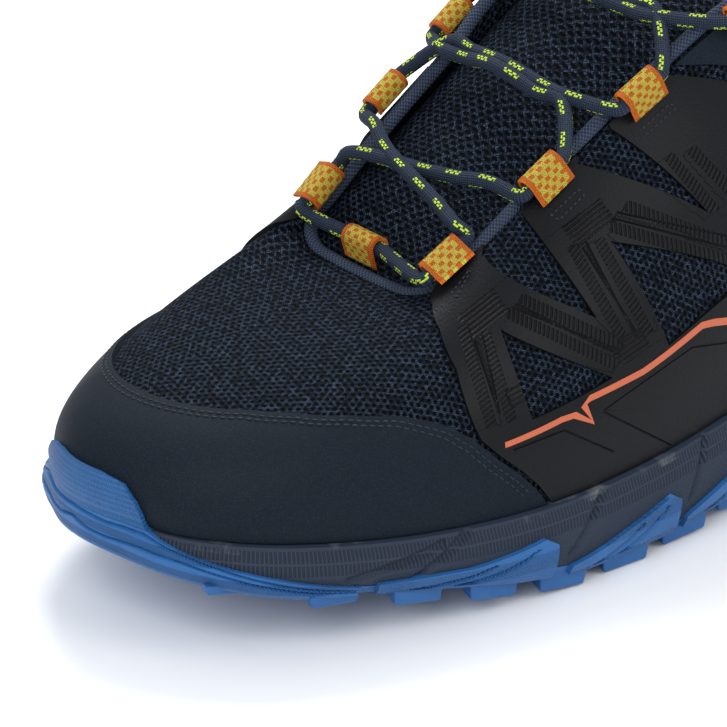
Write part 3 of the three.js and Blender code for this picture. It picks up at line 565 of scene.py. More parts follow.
film_look, _ = film("film_black", (0.006, 0.0062, 0.0075), 0.5, 0.08)
film_look.paint(film_look.mix(
    film_look.band(film_look.noise(45, 4), 0.3, 0.75), (0.0032, 0.0034, 0.0046), (0.0052, 0.0055, 0.0072)))
pressed_look, grain = film("film_pressed", (0.0045, 0.0047, 0.006), 0.42, 0.12)
off, along, groove = (pressed_look.node("ShaderNodeAttribute", attribute_name=key).outputs["Fac"]
                      for key in ("rib_off", "rib_along", "groove"))
ribs = pressed_look.times(pressed_look.band(pressed_look.math("ABSOLUTE", off), *BAND_EDGE),
                          pressed_look.band(pressed_look.waves(along, 1.0), -0.5, 0.9))
line = pressed_look.band(pressed_look.math("ABSOLUTE", groove), GROOVE_HALF, 0.0)
pressed = pressed_look.math("MAXIMUM", ribs, line)
# Painted shade: the pressed ribs and grooves are painted darker, as shade in their hollows.
pressed_look.paint(pressed_look.mix(pressed, (0.0048, 0.005, 0.0064), (0.0024, 0.0025, 0.0032)))
pressed_look.bump(pressed_look.math("SUBTRACT", 1.0, pressed), 0.0011, 1.0, grain)
for name, flip in (("lateral", list), ("medial", mirror)):
    seen = name == "lateral"
    look, step, fields = (pressed_look, 0.45, cage_fields) if seen else (film_look, 0.9, None)
    cut_out(f"cage_{name}_film", flip(CAGE_OUTLINE), look, FILM_FACE, FILM_DEPTH, step=step, fields=fields,
            windows=[flip(w) for w in WINDOWS], replaces=[f"cage_{name}"], slot="film_black")

# Ankle panels and heel counter: more overlays of the same thickness. The panels are finished like the
# toe cap and the counter like the cages.
ANKLE = [(7.14, 1.0), (7.53, 0.873), (8.2, 0.74), (9.4, 0.56), (10.1, 0.62), (10.8, 0.76), (10.8, 1.0)]
for name, flip in (("lateral", list), ("medial", mirror)):
    cut_out(f"ankle_{name}_film", flip(ANKLE), cap_look, FILM_FACE, FILM_DEPTH, step=1.5,
            replaces=[f"ankle_panel_{name}"], slot="cap_navy")
COUNTER = [
    (9.65, 0), (9.65, 0.4), (10.1, 0.56), (10.85, 0.72), (11.4, 0.79), (12, 0.84), (12.6, 0.79),
    (13.15, 0.72), (13.9, 0.56), (14.35, 0.4), (14.35, 0),
]
cut_out("heel_counter_film", COUNTER, film_look, FILM_FACE, FILM_DEPTH, step=1.5,
        replaces=["heel_counter"], slot="film_black")

# Orange line along the lateral cage, with a small notch, printed on the film and a little proud of it.
STRIPE = [
    (4.66, 0.24), (5.15, 0.253), (5.27, 0.248), (5.43, 0.2), (5.36, 0.262), (5.42, 0.275), (5.93, 0.265),
    (6.56, 0.282), (6.68, 0.268), (6.9, 0.235), (8, 0.23), (9.5, 0.21),
]
stripe_look = Look("stripe_orange", (0.45, 0.1, 0.042), 0.45)
stripe_look.bump(stripe_look.noise(1200), 0.0002, 0.3)


def beside(line):
    way = unit(np.gradient(line, axis=0))
    return np.stack([-way[:, 1], way[:, 0]], 1)


def ribbon(rows, width):
    line = np.array(rows) * SKIN_SCALE
    side = beside(line) * width / 2
    return [tuple(q) for q in np.concatenate([line + side, (line - side)[::-1]]) / SKIN_SCALE]


STRIPE_WIDTH, STRIPE_PROUD, STRIPE_THICK = 1.5, 0.14, 0.4
cut_out("stripe_lateral", ribbon(STRIPE, STRIPE_WIDTH), stripe_look, FILM_FACE + STRIPE_PROUD, STRIPE_THICK,
        step=0.7, slot="film_black")


# Stitches: threads set out along guide lines by geometry nodes. A double row follows the cap's edge
# and a box lies below each lace loop.
def stitches(name, lines, pitch, length, thick, look):
    data = bpy.data.curves.new(name, "CURVE")
    data.dimensions = "3D"
    for line in lines:
        spline = data.splines.new("POLY")
        spline.points.add(len(line) - 1)
        for point, place in zip(spline.points, (np.asarray(line) + SHIFT) / 1000):
            point.co = (*place, 1)
    guide = bpy.data.objects.new(name + "_guide", data)
    scene.collection.objects.link(guide)
    group = bpy.data.node_groups.new(name, "GeometryNodeTree")
    for way in ("INPUT", "OUTPUT"):
        group.interface.new_socket("Geometry", in_out=way, socket_type="NodeSocketGeometry")
    source, resample, thread, shape, tangent, turn, spread, real, paint, result = (
        group.nodes.new(kind) for kind in (
            "NodeGroupInput", "GeometryNodeResampleCurve", "GeometryNodeMeshUVSphere",
            "GeometryNodeTransform", "GeometryNodeInputTangent", "FunctionNodeAlignRotationToVector",
            "GeometryNodeInstanceOnPoints", "GeometryNodeRealizeInstances", "GeometryNodeSetMaterial",
            "NodeGroupOutput"))
    resample.mode, turn.axis = "LENGTH", "X"
    for node, key, value in (
            (resample, "Length", pitch / 1000), (thread, "Segments", 8), (thread, "Rings", 6),
            (thread, "Radius", 0.001), (shape, "Scale", (length / 2, thick / 2, thick / 2)),
            (paint, "Material", look.material)):
        node.inputs[key].default_value = value
    for start, node, key in (
            (source, resample, 0), (thread, shape, 0), (tangent, turn, "Vector"),
            (resample, spread, "Points"), (shape, spread, "Instance"),
            (turn, spread, "Rotation"), (spread, real, 0), (real, paint, 0), (paint, result, 0)):
        group.links.new(start.outputs[0], node.inputs[key])
    modifier = guide.modifiers.new("stitches", "NODES")
    modifier.node_group = group
    bpy.context.view_layer.update()
    mesh = bpy.data.meshes.new_from_object(guide.evaluated_get(bpy.context.evaluated_depsgraph_get()))
    bpy.data.objects.remove(guide)
    made = bpy.data.objects.new(name, mesh)
    scene.collection.objects.link(made)
    mesh.shade_smooth()
    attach(made, "root")


thread_look = Look("thread_navy", (0.006, 0.010, 0.018), 0.6)
ON_FILM, CAP_INSETS, ROW_ENDS = FILM_FACE + 0.05, (1.5, 2.8), (4.95, 0.05)
cap_row = stepped(np.array(CAP_EDGE) * SKIN_SCALE, 3.0)[:-1]


def on_film(stations, shares):
    return skin(stations, shares, np.full(len(stations), ON_FILM))


cap_lines = []
for inset in CAP_INSETS:
    rows = (cap_row + beside(cap_row) * inset) / SKIN_SCALE
    rows = rows[(np.abs(rows[:, 0]) < ROW_ENDS[0]) & (rows[:, 1] > ROW_ENDS[1])]
    cap_lines.append(on_film(*rows.T))
stitches("cap_stitches", cap_lines, 2.0, 1.7, 0.45, thread_look)

LATERAL_LOOPS, MEDIAL_LOOPS = [3.65, 5.58, 6.76, 7.8], [-3.9, -5.5, -6.5, -7.6]
BOX_HALF, BOX_TOP, BOX_BOTTOM = 4.6, 6.2, 8.0
box_lines = []
for station in LATERAL_LOOPS + MEDIAL_LOOPS:
    origin, down, away, edge = edge_frame(station)
    corners = [origin + down * lower + edge * e for lower, e in (
        (BOX_TOP, -BOX_HALF), (BOX_TOP, BOX_HALF), (BOX_BOTTOM, BOX_HALF), (BOX_BOTTOM, -BOX_HALF),
        (BOX_TOP, -BOX_HALF))]
    near_u, near_t = np.meshgrid(
        np.linspace(station - 0.5, station + 0.5, 41), np.linspace(0.7, 1, 61), indexing="ij")
    near = on_film(near_u.ravel(), near_t.ravel())
    box_lines.append([near[np.argmin(((near - corner) ** 2).sum(1))] for corner in corners])
stitches("loop_stitches", box_lines, 1.55, 1.2, 0.5, thread_look)

# Tongue: padded mesh that arches up through the throat, in rows from the toe end to its free top.
# Each row has nine places from wing to wing, and the way in which its padding lies.
TONGUE_PAD, TONGUE_CLEAR, TONGUE_SINK, TONGUE_DIP, TONGUE_FREE, SHOULDER = 5.0, 3 * CLEAR, 1.5, 4.0, 26.0, 1.4
TONGUE_FACE = LINING_FACE - TONGUE_CLEAR
TONGUE_ROWS = np.array([
    (4.2, -0.022, 0.9), (4.9, 0.045, 0.84), (5.7, 0.073, 0.82), (6.5, 0.088, 0.84), (7.3, 0.09, 0.87),
    (8, 0.085, 0.92)])
TONGUE_FRONT = [
    [(2.4, 0.91), (2.2, 0.92), (1.7, 0.925), (0.9, 0.93), (0, 0.93)],
    [(2.7, 0.93), (2.55, 0.95), (2, 0.975), (1, 0.985), (0, 0.985)],
]
TONGUE_TOP = [(0.35, 0.98), (0.7, 0.9), (0.92, 0.76), (1, 0.56)]
TONGUE_THIN, TONGUE_ENDS_THIN, TONGUE_COLUMN = np.array([0.3, 0.8, 1, 1, 1, 1, 1, 0.8, 0.3]), 0.4, 7.0


def under(station, share, dip=0.0):
    point = skin(station, share, TONGUE_FACE) - Z * (TONGUE_SINK + dip)
    return point, unit(-Z - 0.5 * last_normal(station, share))


tongue_rows = []
for half in TONGUE_FRONT:
    tongue_rows.append([under(u, t, TONGUE_DIP) for u, t in half]
                       + [under(-u, t, TONGUE_DIP) for u, t in half[-2::-1]])
for station, crown, wing in TONGUE_ROWS:
    near, far = under(station, 1), under(-station, 1)
    down = unit(near[1] + far[1])
    bow = [(near[0] * (1 - w) + far[0] * w - down * crown * BALL * math.sin(math.pi * w) ** SHOULDER, down)
           for w in (0.22, 0.5, 0.78)]
    middle = (wing + 1) / 2
    tongue_rows.append([under(station, wing), under(station, middle), near, *bow, far,
                        under(-station, middle), under(-station, wing)])
last_row, crest = tongue_rows[-1], tongue_rows[-1][4][0]
rise = unit((crest - tongue_rows[-2][4][0]) * [1, 0, 1])
lean = unit(rise * [0.75, 0, 1.25])
for climb, width in TONGUE_TOP:
    tongue_rows.append([
        (point * [1, 0, 1] + lean * TONGUE_FREE * climb
         + np.array([0, crest[1] + (point[1] - crest[1]) * width, 0]), inward) for point, inward in last_row])
faces_in = np.array([[q[0] for q in row] for row in tongue_rows])
pad_in = np.array([[q[1] for q in row] for row in tongue_rows])
thinned = np.ones(len(faces_in))
thinned[[0, -1]] = TONGUE_ENDS_THIN
padding = TONGUE_PAD * TONGUE_THIN[None, :, None] * thinned[:, None, None] * pad_in
tongue_ring = np.concatenate([faces_in, (faces_in + padding)[:, ::-1]], 1)
long_way = np.cumsum(np.r_[0, np.linalg.norm(np.diff(faces_in[:, 4], axis=0), axis=1)])
cross_way = np.r_[np.arange(9), np.arange(9)[::-1]] * TONGUE_COLUMN
tongue_uv = np.stack(np.meshgrid(long_way, cross_way, indexing="ij"), -1)
tongue = piece("tongue_padded", tongue_ring, closed(tongue_ring), net, uv=tongue_uv,
               replaces=["tongue"], slot="mesh_navy")
smoothed(tongue, 3)

# Collar lining: a padded roll round the ankle, over the upper's edge and down its inside. The insole
# lies on the midsole, inside the upper.
COLLAR_PAD, COLLAR_RISE, INSOLE_THICK, SOLE_SEAT = 6.0, 3.0, 4.0, 0.5
COLLAR_SPAN = (8.5, 15.55, 0.25)
lining_look = Look("lining_navy", (0.014, 0.02, 0.036), 0.95, 0.15)
lining_look.bump(lining_look.noise(1800, 2), 0.0004, 0.6)
face = LINING_FACE - CLEAR
collar_rings = []
for station in np.arange(*COLLAR_SPAN):
    origin, down, away, edge = edge_frame(station)
    rolled = [origin + down * d + away * a for d, a in (
        (-2 * CLEAR, face), (-2 * CLEAR, UPPER_FACE - CLEAR),
        (-COLLAR_RISE * 0.8, UPPER_FACE - 1.2), (-COLLAR_RISE, LINING_FACE - 2),
        (-COLLAR_RISE * 0.5, LINING_FACE - COLLAR_PAD * 0.8))]
    low = [skin(station, t, face) for t in (0.65, 0.78, 0.9, 1.0)]
    back = [skin(station, t, face - COLLAR_PAD * d) for t, d in ((0.95, 1), (0.82, 1), (0.72, 0.5))]
    collar_rings.append([*low, *rolled, *back])
collar_rings = np.array(collar_rings)
collar = piece("collar_padded", collar_rings, closed(collar_rings), lining_look,
               replaces=["collar"], slot="mesh_navy")
smoothed(collar, 2)


def sole_lip(station):
    return section(station)[..., 2] - SOLE_SEAT


INSOLE_AROUND = 120
insole_u = np.linspace(0, 24, INSOLE_AROUND + 1)[:-1]
inset = LINING_FACE - 2 * CLEAR
insole_rings = []
for height, narrower in ((0, 0), (0.7, 0.2), (1, 2)):
    ring = section(insole_u)[:, 0:3] * [1, 1, 0] + outward(insole_u) * (inset - narrower)
    ring[:, 2] = sole_lip(insole_u) + (CLEAR + INSOLE_THICK * height)
    insole_rings.append(ring)
insole_rings = np.array(insole_rings)
strips = [(k, k + 1, INSOLE_AROUND - 1 - k, INSOLE_AROUND - k) for k in range(1, INSOLE_AROUND // 2)]
strips = [tuple(dict.fromkeys(strip)) for strip in strips] + [(0, 1, INSOLE_AROUND - 1)]
strips = [strip for strip in strips if len(strip) > 2]
turned_out(piece(
    "insole_foam", insole_rings,
    [*quads(3, INSOLE_AROUND, wrap_columns=True), *strips,
     *[tuple(v + 2 * INSOLE_AROUND for v in strip) for strip in strips]],
    lining_look, smooth=False, replaces=["insole"], slot="insole_dark"))


# Tubes: round cords swept along a path, for the piping and the lace. Their own coordinates are the
# length along them in millimetres and the share of the way round.
def tube(name, path, radius, look, around, slot, replaces):
    path = np.asarray(path, float)
    way = unit(np.gradient(path, axis=0))
    normal = unit(np.cross(way[0], [0.3, 0.2, 1.0]))
    rings, angles = [], np.linspace(0, 2 * math.pi, around + 1)
    for k, point in enumerate(path):
        normal = unit(normal - way[k] * (normal @ way[k]))
        side = np.cross(way[k], normal)
        rings.append(point + radius * (np.cos(angles)[:, None] * normal + np.sin(angles)[:, None] * side))
    length = np.cumsum(np.r_[0, np.linalg.norm(np.diff(path, axis=0), axis=1)])
    uv = np.stack(np.meshgrid(length, np.linspace(0, 1, around + 1), indexing="ij"), -1)
    rows, columns = len(path), around + 1
    caps = [list(range(around)), [(rows - 1) * columns + k for k in range(around)][::-1]]
    piece(name, np.array(rings), [*quads(rows, columns), *caps], look, uv=uv, replaces=replaces, slot=slot)


def curve_through(points, per_span=14):
    points = np.asarray(points, float)
    padded = np.concatenate([[2 * points[0] - points[1]], points, [2 * points[-1] - points[-2]]])
    t = np.linspace(0, 1, per_span, endpoint=False)[:, None]
    spans = [spline(*corners, t) for corners in zip(padded, padded[1:], padded[2:], padded[3:])]
    return np.concatenate([*spans, [points[-1]]])


# Piping: a knitted tube along the throat's edge, from one side of the collar round to the other.
PIPING, PIPING_END, PIPING_STEPS = 3.4, 8.1, 260
piping_look = Look("piping_blue", (0.045, 0.064, 0.105), 0.85, 0.2)
along, around = piping_look.uv()
knit = piping_look.times(piping_look.waves(piping_look.plus(along, piping_look.times(around, 2.2)), 1.1),
                         piping_look.waves(around, 0.125))
# Painted shade: the knit is painted darker in its hollows and lighter on its raised loops.
piping_look.paint(piping_look.mix(
    piping_look.band(knit, -1.0, 1.0), (0.012, 0.018, 0.033), (0.06, 0.082, 0.135)))
piping_look.bump(knit, 0.0004, 0.8)
piping_path = []
for station in np.linspace(-PIPING_END, PIPING_END, PIPING_STEPS):
    origin, down, away, edge = edge_frame(station)
    piping_path.append(origin - down * (PIPING / 2 + CLEAR) + away * (UPPER_FACE + LINING_FACE) / 2)
tube("throat_piping_knit", piping_path, PIPING / 2, piping_look, 14, "piping_blue", ["throat_piping"])

# Webbing loops: folded strips of checked webbing with plain selvedges, whose fold holds the lace. The
# fold is an arc seen from the strip's side, and both ends run down to the film as a tail.
WEBBING_WIDTH, WEBBING_THICK, LACE, LACE_ROOM, LACE_STAND = 10.5, 0.9, 3.5, 0.25, 2.3
FOLD = LACE / 2 + LACE_ROOM
FOLD_DOWN, FOLD_AWAY, TAIL = -1.6, FILM_FACE + 1.5 * CLEAR + WEBBING_THICK + FOLD, 5.5
CELL_ACROSS, CELL_ALONG, SELVEDGE, TIP = 1.35, 1.5, 1.15, 0.3
ARC_ROWS, TAIL_ROWS, STRIP_COLUMNS = 25, 9, 17


def webbing_finish():
    look = Look("webbing_orange", (0.87, 0.22, 0.02), 0.7, 0.2)
    across, along = look.uv()
    column, row = (look.math("FLOOR", look.math("DIVIDE", way, cell)) for way, cell in (
        (across, CELL_ACROSS), (along, CELL_ALONG)))
    check = look.math("MODULO", look.plus(look.plus(column, row), 40), 2)
    off_middle = look.math("ABSOLUTE", look.math("SUBTRACT", across, WEBBING_WIDTH / 2))
    tips = look.less(look.math("MODULO", along, CELL_ALONG), TIP * CELL_ALONG)
    yellow = look.times(
        look.math("MAXIMUM", check, tips), look.less(off_middle, WEBBING_WIDTH / 2 - SELVEDGE))
    ribs = look.times(look.waves(along, 0.5), look.waves(across, 0.68))
    shade = look.band(ribs, -1.6, 0.6)
    look.paint(look.mix(yellow, look.mix(shade, (0.62, 0.09, 0.008), (1.0, 0.25, 0.02)),
                        look.mix(shade, (0.66, 0.47, 0.03), (1.0, 0.83, 0.12))))
    look.bump(ribs, 0.0008, 1.0)
    return look


webbing_look = webbing_finish()


def webbing(name, frame_at, tail, turn, node):
    origin, down, away, edge = frame_at
    outer = FOLD + WEBBING_THICK
    angles = -math.pi * (0.5 + 1.15 * np.linspace(0, 1, ARC_ROWS))
    arc = np.stack([np.cos(angles), np.sin(angles)], 1)
    t = np.linspace(0, 1, TAIL_ROWS)[1:, None]
    outside, inner = (
        np.concatenate([radius * arc, radius * arc[-1] * (1 - t) + np.array([tail, end - outer]) * t])
        for radius, end in ((outer, 2 * WEBBING_THICK), (FOLD, WEBBING_THICK)))
    c, s = math.cos(turn), math.sin(turn)
    columns = np.linspace(-0.5, 0.5, STRIP_COLUMNS)
    length = np.cumsum(np.r_[0, np.linalg.norm(np.diff(outside, axis=0), axis=1)])

    def laid(profile):
        x, y = profile[:, 0] * c - profile[:, 1] * s, profile[:, 0] * s + profile[:, 1] * c
        base = origin + np.outer(FOLD_DOWN + x, down) + np.outer(FOLD_AWAY + y, away)
        return base[:, None] + columns[None, :, None] * WEBBING_WIDTH * edge

    sheets = np.concatenate([laid(outside), laid(inner)[:, ::-1]], 1)
    widths = np.concatenate([columns, columns[::-1]]) * WEBBING_WIDTH + WEBBING_WIDTH / 2
    uv = np.stack(np.broadcast_arrays(widths[None, :], length[:, None]), -1)
    made = piece(name, sheets, closed(sheets), webbing_look, uv=uv, replaces=[node], slot="webbing_orange")
    crisp(made, 60)


for side, loops in (("lateral", LATERAL_LOOPS), ("medial", MEDIAL_LOOPS)):
    for k, station in enumerate(loops, 1):
        webbing(f"webbing_{side}_{k}", edge_frame(station), TAIL, 0.0, f"loop_{side}_{k}")
FRONT_STATION, FRONT_BACK, FRONT_TAIL, FRONT_TURN = -0.45, 5.2, 5.0, -0.3 * math.pi
front_origin, front_down, *front_ways = edge_frame(FRONT_STATION)
FRONT = (front_origin - front_down * FRONT_BACK, front_down, *front_ways)
webbing("webbing_front", FRONT, FRONT_TAIL, FRONT_TURN, "loop_front")

# Lace: a braided cord in two halves from the front loop, each through one loop after another up to
# the top ones. Lime flecks come in pairs of short dashes, on three sides of the cord in turn.
FLECK_COLUMNS, FLECK_SIDES, FLECK_REPEAT, FLECK_RUN, DASH_REPEAT, DASH = 18, 3, 9.0, 4.1, 1.45, 0.95
LACE_LIFT, LACE_STRAIGHT = LACE / 2 + 3 * CLEAR, FOLD_AWAY + 2.1


def lace_finish():
    look = Look("lace_navy", (0.02, 0.034, 0.066), 0.75, 0.2)
    along, around = look.uv()
    turns, pick = look.times(around, 9), look.math("DIVIDE", along, 1.05)
    braid = look.times(
        look.waves(look.plus(turns, pick), 1.0), look.waves(look.math("SUBTRACT", turns, pick), 1.0))
    place = look.times(around, FLECK_COLUMNS)
    column = look.math("FLOOR", place)
    columns_a_side = FLECK_COLUMNS / FLECK_SIDES
    side = look.math("FLOOR", look.math("DIVIDE", column, columns_a_side))
    shifted = look.plus(along, look.times(side, FLECK_REPEAT / FLECK_SIDES))
    pair = look.times(look.less(look.math("MODULO", column, columns_a_side), 1.5),
                      look.less(look.math("MODULO", shifted, FLECK_REPEAT), FLECK_RUN))
    stepped_along = look.plus(along, look.times(column, 0.72))
    dash = look.times(look.less(look.math("MODULO", stepped_along, DASH_REPEAT), DASH),
                      look.math("GREATER_THAN", look.math("FRACT", place), 0.2))
    # Painted shade: the braid is painted darker in its hollows and lighter on its raised strands.
    tone = look.band(braid, -1.0, 1.0)
    look.paint(look.mix(look.times(pair, dash), look.mix(tone, (0.006, 0.011, 0.021), (0.034, 0.053, 0.095)),
                        (0.62, 0.85, 0.05)))
    look.bump(braid, 0.0005, 0.8)
    return look


lace_look = lace_finish()


def fold_end(station, way):
    origin, down, away, edge = edge_frame(station)
    reach = math.copysign(1, station) * way * (WEBBING_WIDTH / 2 + LACE_STAND)
    return origin + down * FOLD_DOWN + away * FOLD_AWAY + edge * reach


def over_tongue(station, across, lift=0.0):
    crown = np.interp(station, TONGUE_ROWS[:, 0], TONGUE_ROWS[:, 1]) * BALL
    away = unit(last_normal(station, 1.0) + last_normal(-station, 1.0))
    arch = crown * math.sin(math.pi * across) ** SHOULDER
    height = max(arch + LACE_LIFT, LACE_STRAIGHT - TONGUE_FACE)
    chord = skin(station, 1.0, TONGUE_FACE) * (1 - across) + skin(-station, 1.0, TONGUE_FACE) * across
    return chord + away * (height + lift)


LEAVE, ARRIVE, OVER, UNDER = 0.7, 0.4, 1.3, -0.3


def strand(start, finish, over):
    low, high = abs(start) + LEAVE, abs(finish) - ARRIVE
    crossing = ((0.1, 0), (0.26, 0.3), (0.5, over), (0.74, 0.3), (0.9, 0))
    return [over_tongue(low + (high - low) * k / 4, w if start > 0 else 1 - w, lift)
            for k, (w, lift) in enumerate(crossing)]


def lace_half(name, loops, side, replaced):
    origin, down, away, edge = FRONT
    sideways = edge * (1 if (edge @ (edge_frame(loops[0])[0] - origin)) > 0 else -1)
    centre = origin + down * FOLD_DOWN + away * FOLD_AWAY
    route = [centre, centre + sideways * (WEBBING_WIDTH / 2 + 1)]
    for k, station in enumerate(loops):
        through = (-1, -0.4, 0.4, 1) if k < len(loops) - 1 else (-1, -0.4, 0.2)
        route += [fold_end(station, way) for way in through]
        if k < len(loops) - 1:
            route += strand(station, loops[k + 1], OVER if (k % 2 == 0) == (side > 0) else UNDER)
    tube(name, curve_through(route), LACE / 2, lace_look, 16, "lace_navy", replaced)


lace_half("lace_first_half", [3.65, -5.5, 6.76, -7.6], 1,
          ["lace_bar_lateral", "lace_cross_1", "lace_cross_2"])
lace_half("lace_second_half", [-3.9, 5.58, -6.5, 7.8], -1, ["lace_bar_medial", "lace_cross_3"])

# Sole: its rocker as rows of length share, tip height share and lug share, and its side profile, whose
# flare grows round the toe.
SLAB, LUG, FLARE, POD_PROUD = 2.5, 4.5, 4.4, 1.3
ROCKER = np.array([
    (0, 0.6, 0.45), (0.033, 0.53, 0.45), (0.067, 0.46, 0.45), (0.1, 0.395, 0.5), (0.133, 0.342, 0.6),
    (0.167, 0.303, 0.75), (0.2, 0.25, 0.9), (0.237, 0.19, 1), (0.27, 0.137, 1), (0.303, 0.08, 1),
    (0.337, 0.037, 1), (0.36, 0.01, 1), (0.375, 0, 1), (0.47, 0, 1), (0.51, 0.03, 1), (0.55, 0.055, 1),
    (0.62, 0.055, 1), (0.67, 0.03, 1), (0.71, 0, 1), (0.945, 0, 1), (0.97, 0.04, 1), (1, 0.12, 1)])
SIDE_PROFILE = np.array([(0, 0.4), (0.12, 0.7), (0.3, 0.92), (0.45, 1), (0.62, 0.95), (0.8, 0.8), (1, 0.45)])
FLARE_ROUND = np.array([(0, 0.15), (1, 0.35), (2, 0.75), (3, 1)])


def lug_tip(x):
    return np.interp(np.asarray(x) / LENGTH, ROCKER[:, 0], ROCKER[:, 1]) * SOLE


def slab_floor(x):
    return lug_tip(x) + np.interp(np.asarray(x) / LENGTH, ROCKER[:, 0], ROCKER[:, 2]) * LUG


def sole_side(station, share, push=0.0):
    station, share = np.broadcast_arrays(np.asarray(station, float), np.asarray(share, float))
    row = section(station)
    low = slab_floor(row[..., 0])
    point = row[..., 0:3].copy()
    point[..., 2] = low + share * (sole_lip(station) - low)
    flare = FLARE * np.interp(from_tip(station), *FLARE_ROUND.T) * np.interp(share, *SIDE_PROFILE.T)
    return point + outward(station) * (flare + np.asarray(push))[..., None]


def share_above(station, height):
    return height / (sole_lip(station) - slab_floor(section(station)[..., 0]))


FOOTLINE = np.linspace(-12, 12, 2401)
FOOT_LENGTH = np.cumsum(np.r_[0, np.linalg.norm(np.diff(section(FOOTLINE)[:, :2], axis=0), axis=1)])


def foot_length(station):
    return np.interp((np.asarray(station) + 12) % 24 - 12, FOOTLINE, FOOT_LENGTH)


def sole_uv(station, share):
    below = (1 - np.asarray(share)) * (sole_lip(station) - slab_floor(section(station)[..., 0]))
    return np.stack([foot_length(station), below], -1)


def stacked(name, around, shares_at, look, relief=None, smooth=True, **tags):
    u = np.linspace(0, 24, around + 1)[:-1]
    t = shares_at(u)
    push = 0 * t if relief is None else relief(u[None] + 0 * t, t)
    rings = sole_side(u[None] + 0 * t, t, push)
    rows = len(rings)
    pairs = [tuple(dict.fromkeys((k % around, k + 1, around - k - 1, (around - k) % around)))
             for k in range(around // 2)]
    pairs = [q for q in pairs if len(q) > 2]
    base = (rows - 1) * around
    made = piece(name, rings, [*quads(rows, around, wrap_columns=True), *pairs,
                               *[tuple(v + base for v in q) for q in pairs]],
                 look, uv=sole_uv(u[None] + 0 * t, t), smooth=smooth, **tags)
    crisp(made)


# Midsole: foam with a band of upright ribs below its upper edge, a fine grid further down, dust of glue
# along the edge, and diagonal channels.
CHANNEL_DEPTH, CHANNEL_HALF, CHANNEL_FLAT = 1.1, 0.75, 1.6
CHANNELS = [
    [(4.37, 0.98), (3.93, 0.3)], [(4.16, 0.85), (3.43, 0.36)], [(5.5, 0.98), (5.17, 0.32)],
    [(6.5, 0.98), (6.3, 0.38)], [(7.66, 0.98), (7.46, 0.36)],
]


def channel_relief(station, share):
    at = sole_uv(from_tip(station), share)
    depth = np.zeros(station.shape)
    for ends in CHANNELS:
        a, b = (sole_uv(np.array(u), np.array(t)) for u, t in ends)
        way = b - a
        t = np.clip(((at - a) @ way) / (way @ way), 0, 1)
        off = np.linalg.norm(at - a - t[..., None] * way, axis=-1)
        depth -= CHANNEL_DEPTH * np.clip(CHANNEL_FLAT - off / CHANNEL_HALF, 0, 1)
    return depth


def foam_finish():
    look = Look("foam_slate", (0.022, 0.032, 0.056), 0.72, 0.25)
    along, below = look.uv()
    rows = look.times(look.less(below, 6.2), look.math("GREATER_THAN", below, 0.7))
    gap = look.math("GREATER_THAN", look.math("ABSOLUTE", look.math("SUBTRACT", below, 3.4)), 0.25)
    knurl = look.times(look.times(look.waves(along, 0.95), rows), gap)
    fine = look.times(look.waves(along, 0.8), look.waves(below, 0.8))
    height = look.plus(knurl, look.times(fine, look.times(look.math("SUBTRACT", 1.0, rows), 0.25)))
    dust = look.times(look.band(look.noise(95, 6), 0.56, 0.72), look.less(below, 1.6))
    # Painted shade: the foam is painted darker in the hollows of its ribs and grid, lighter on their tops.
    foam = look.mix(look.band(height, -1.0, 1.0), (0.0115, 0.018, 0.032), (0.027, 0.039, 0.066))
    look.paint(look.mix(dust, foam, (0.12, 0.13, 0.14)))
    look.bump(height, 0.0004, 0.8)
    return look


def foam_shares(stations):
    foot = share_above(stations, SLAB + CLEAR)
    return np.linspace(0, 1, 30)[:, None] * (1 - foot) + foot


stacked("midsole_foam", 1440, foam_shares, foam_finish(), relief=channel_relief, replaces=["midsole"],
        slot="foam_slate")

# Outsole: a rubber slab, with pods up its sides that stand proud and carry two tapered slots each.
# A pod's outline is in stations and shares of the sole's side; the heel pod lies across the back.
rubber_look = Look("rubber_blue", (0.026, 0.15, 0.42), 0.5, 0.3)
rubber_look.paint(rubber_look.mix(
    rubber_look.band(rubber_look.noise(60, 5), 0.3, 0.75), (0.013, 0.083, 0.25), (0.021, 0.115, 0.31)))
x, y = rubber_look.uv()
dots = rubber_look.times(rubber_look.waves(x, 0.8), rubber_look.waves(y, 0.8))
dotted = rubber_look.times(dots, rubber_look.band(rubber_look.waves(y, 9.0), -0.2, 0.1))
rubber_look.bump(dotted, 0.0004, 0.7, rubber_look.bump(rubber_look.noise(1300, 2), 0.0003, 0.35))
stacked("outsole_slab", 480, lambda u: np.array([0, 0.5, 1])[:, None] * share_above(u, SLAB), rubber_look,
        replaces=["outsole"], slot="rubber_blue")
PODS = [
    [(3.64, 0.27), (4.35, 0.4), (4.93, 0.66), (5.03, 0.55)],
    [(5.18, 0.15), (5.71, 0.42), (6.08, 0.58), (6.16, 0.48)],
    [(6.26, 0.16), (6.8, 0.42), (7.28, 0.56), (7.36, 0.46)],
    [(7.46, 0.15), (8, 0.4), (8.42, 0.53), (8.5, 0.44)],
    [(8.6, 0.15), (9.2, 0.38), (9.72, 0.5), (9.8, 0.42)],
    [(9.92, 0.15), (10.6, 0.36), (11.16, 0.46), (11.24, 0.4)],
]
SLOT_STARTS, SLOT_DEPTH, SLOT_LEAN, SLOT_LOW, SLOT_RISE = (0.24, 0.48), 1.1, 0.4, 0.18, 0.66
HEEL_POD = [(11.36, 0.36), (12, 0.46), (12.64, 0.36)]


def pod_relief(edge):
    table = np.array(edge)

    def relief(points, station, share):
        turn = from_tip(station) if edge is not HEEL_POD else station
        a = (turn - table[0, 0]) / (table[-1, 0] - table[0, 0])
        b = share / np.interp(turn, table[:, 0], table[:, 1])
        rise = (b - SLOT_LOW) / SLOT_RISE
        depth = np.zeros(len(a))
        for start in SLOT_STARTS:
            half = 0.085 * (1 - rise) + 0.025
            into = np.clip(1.5 * (1 - np.abs(a - start - SLOT_LEAN * rise) / half), 0, 1)
            depth = np.maximum(depth, np.where((rise > 0) & (rise < 1), into, 0))
        return -SLOT_DEPTH * depth
    return relief


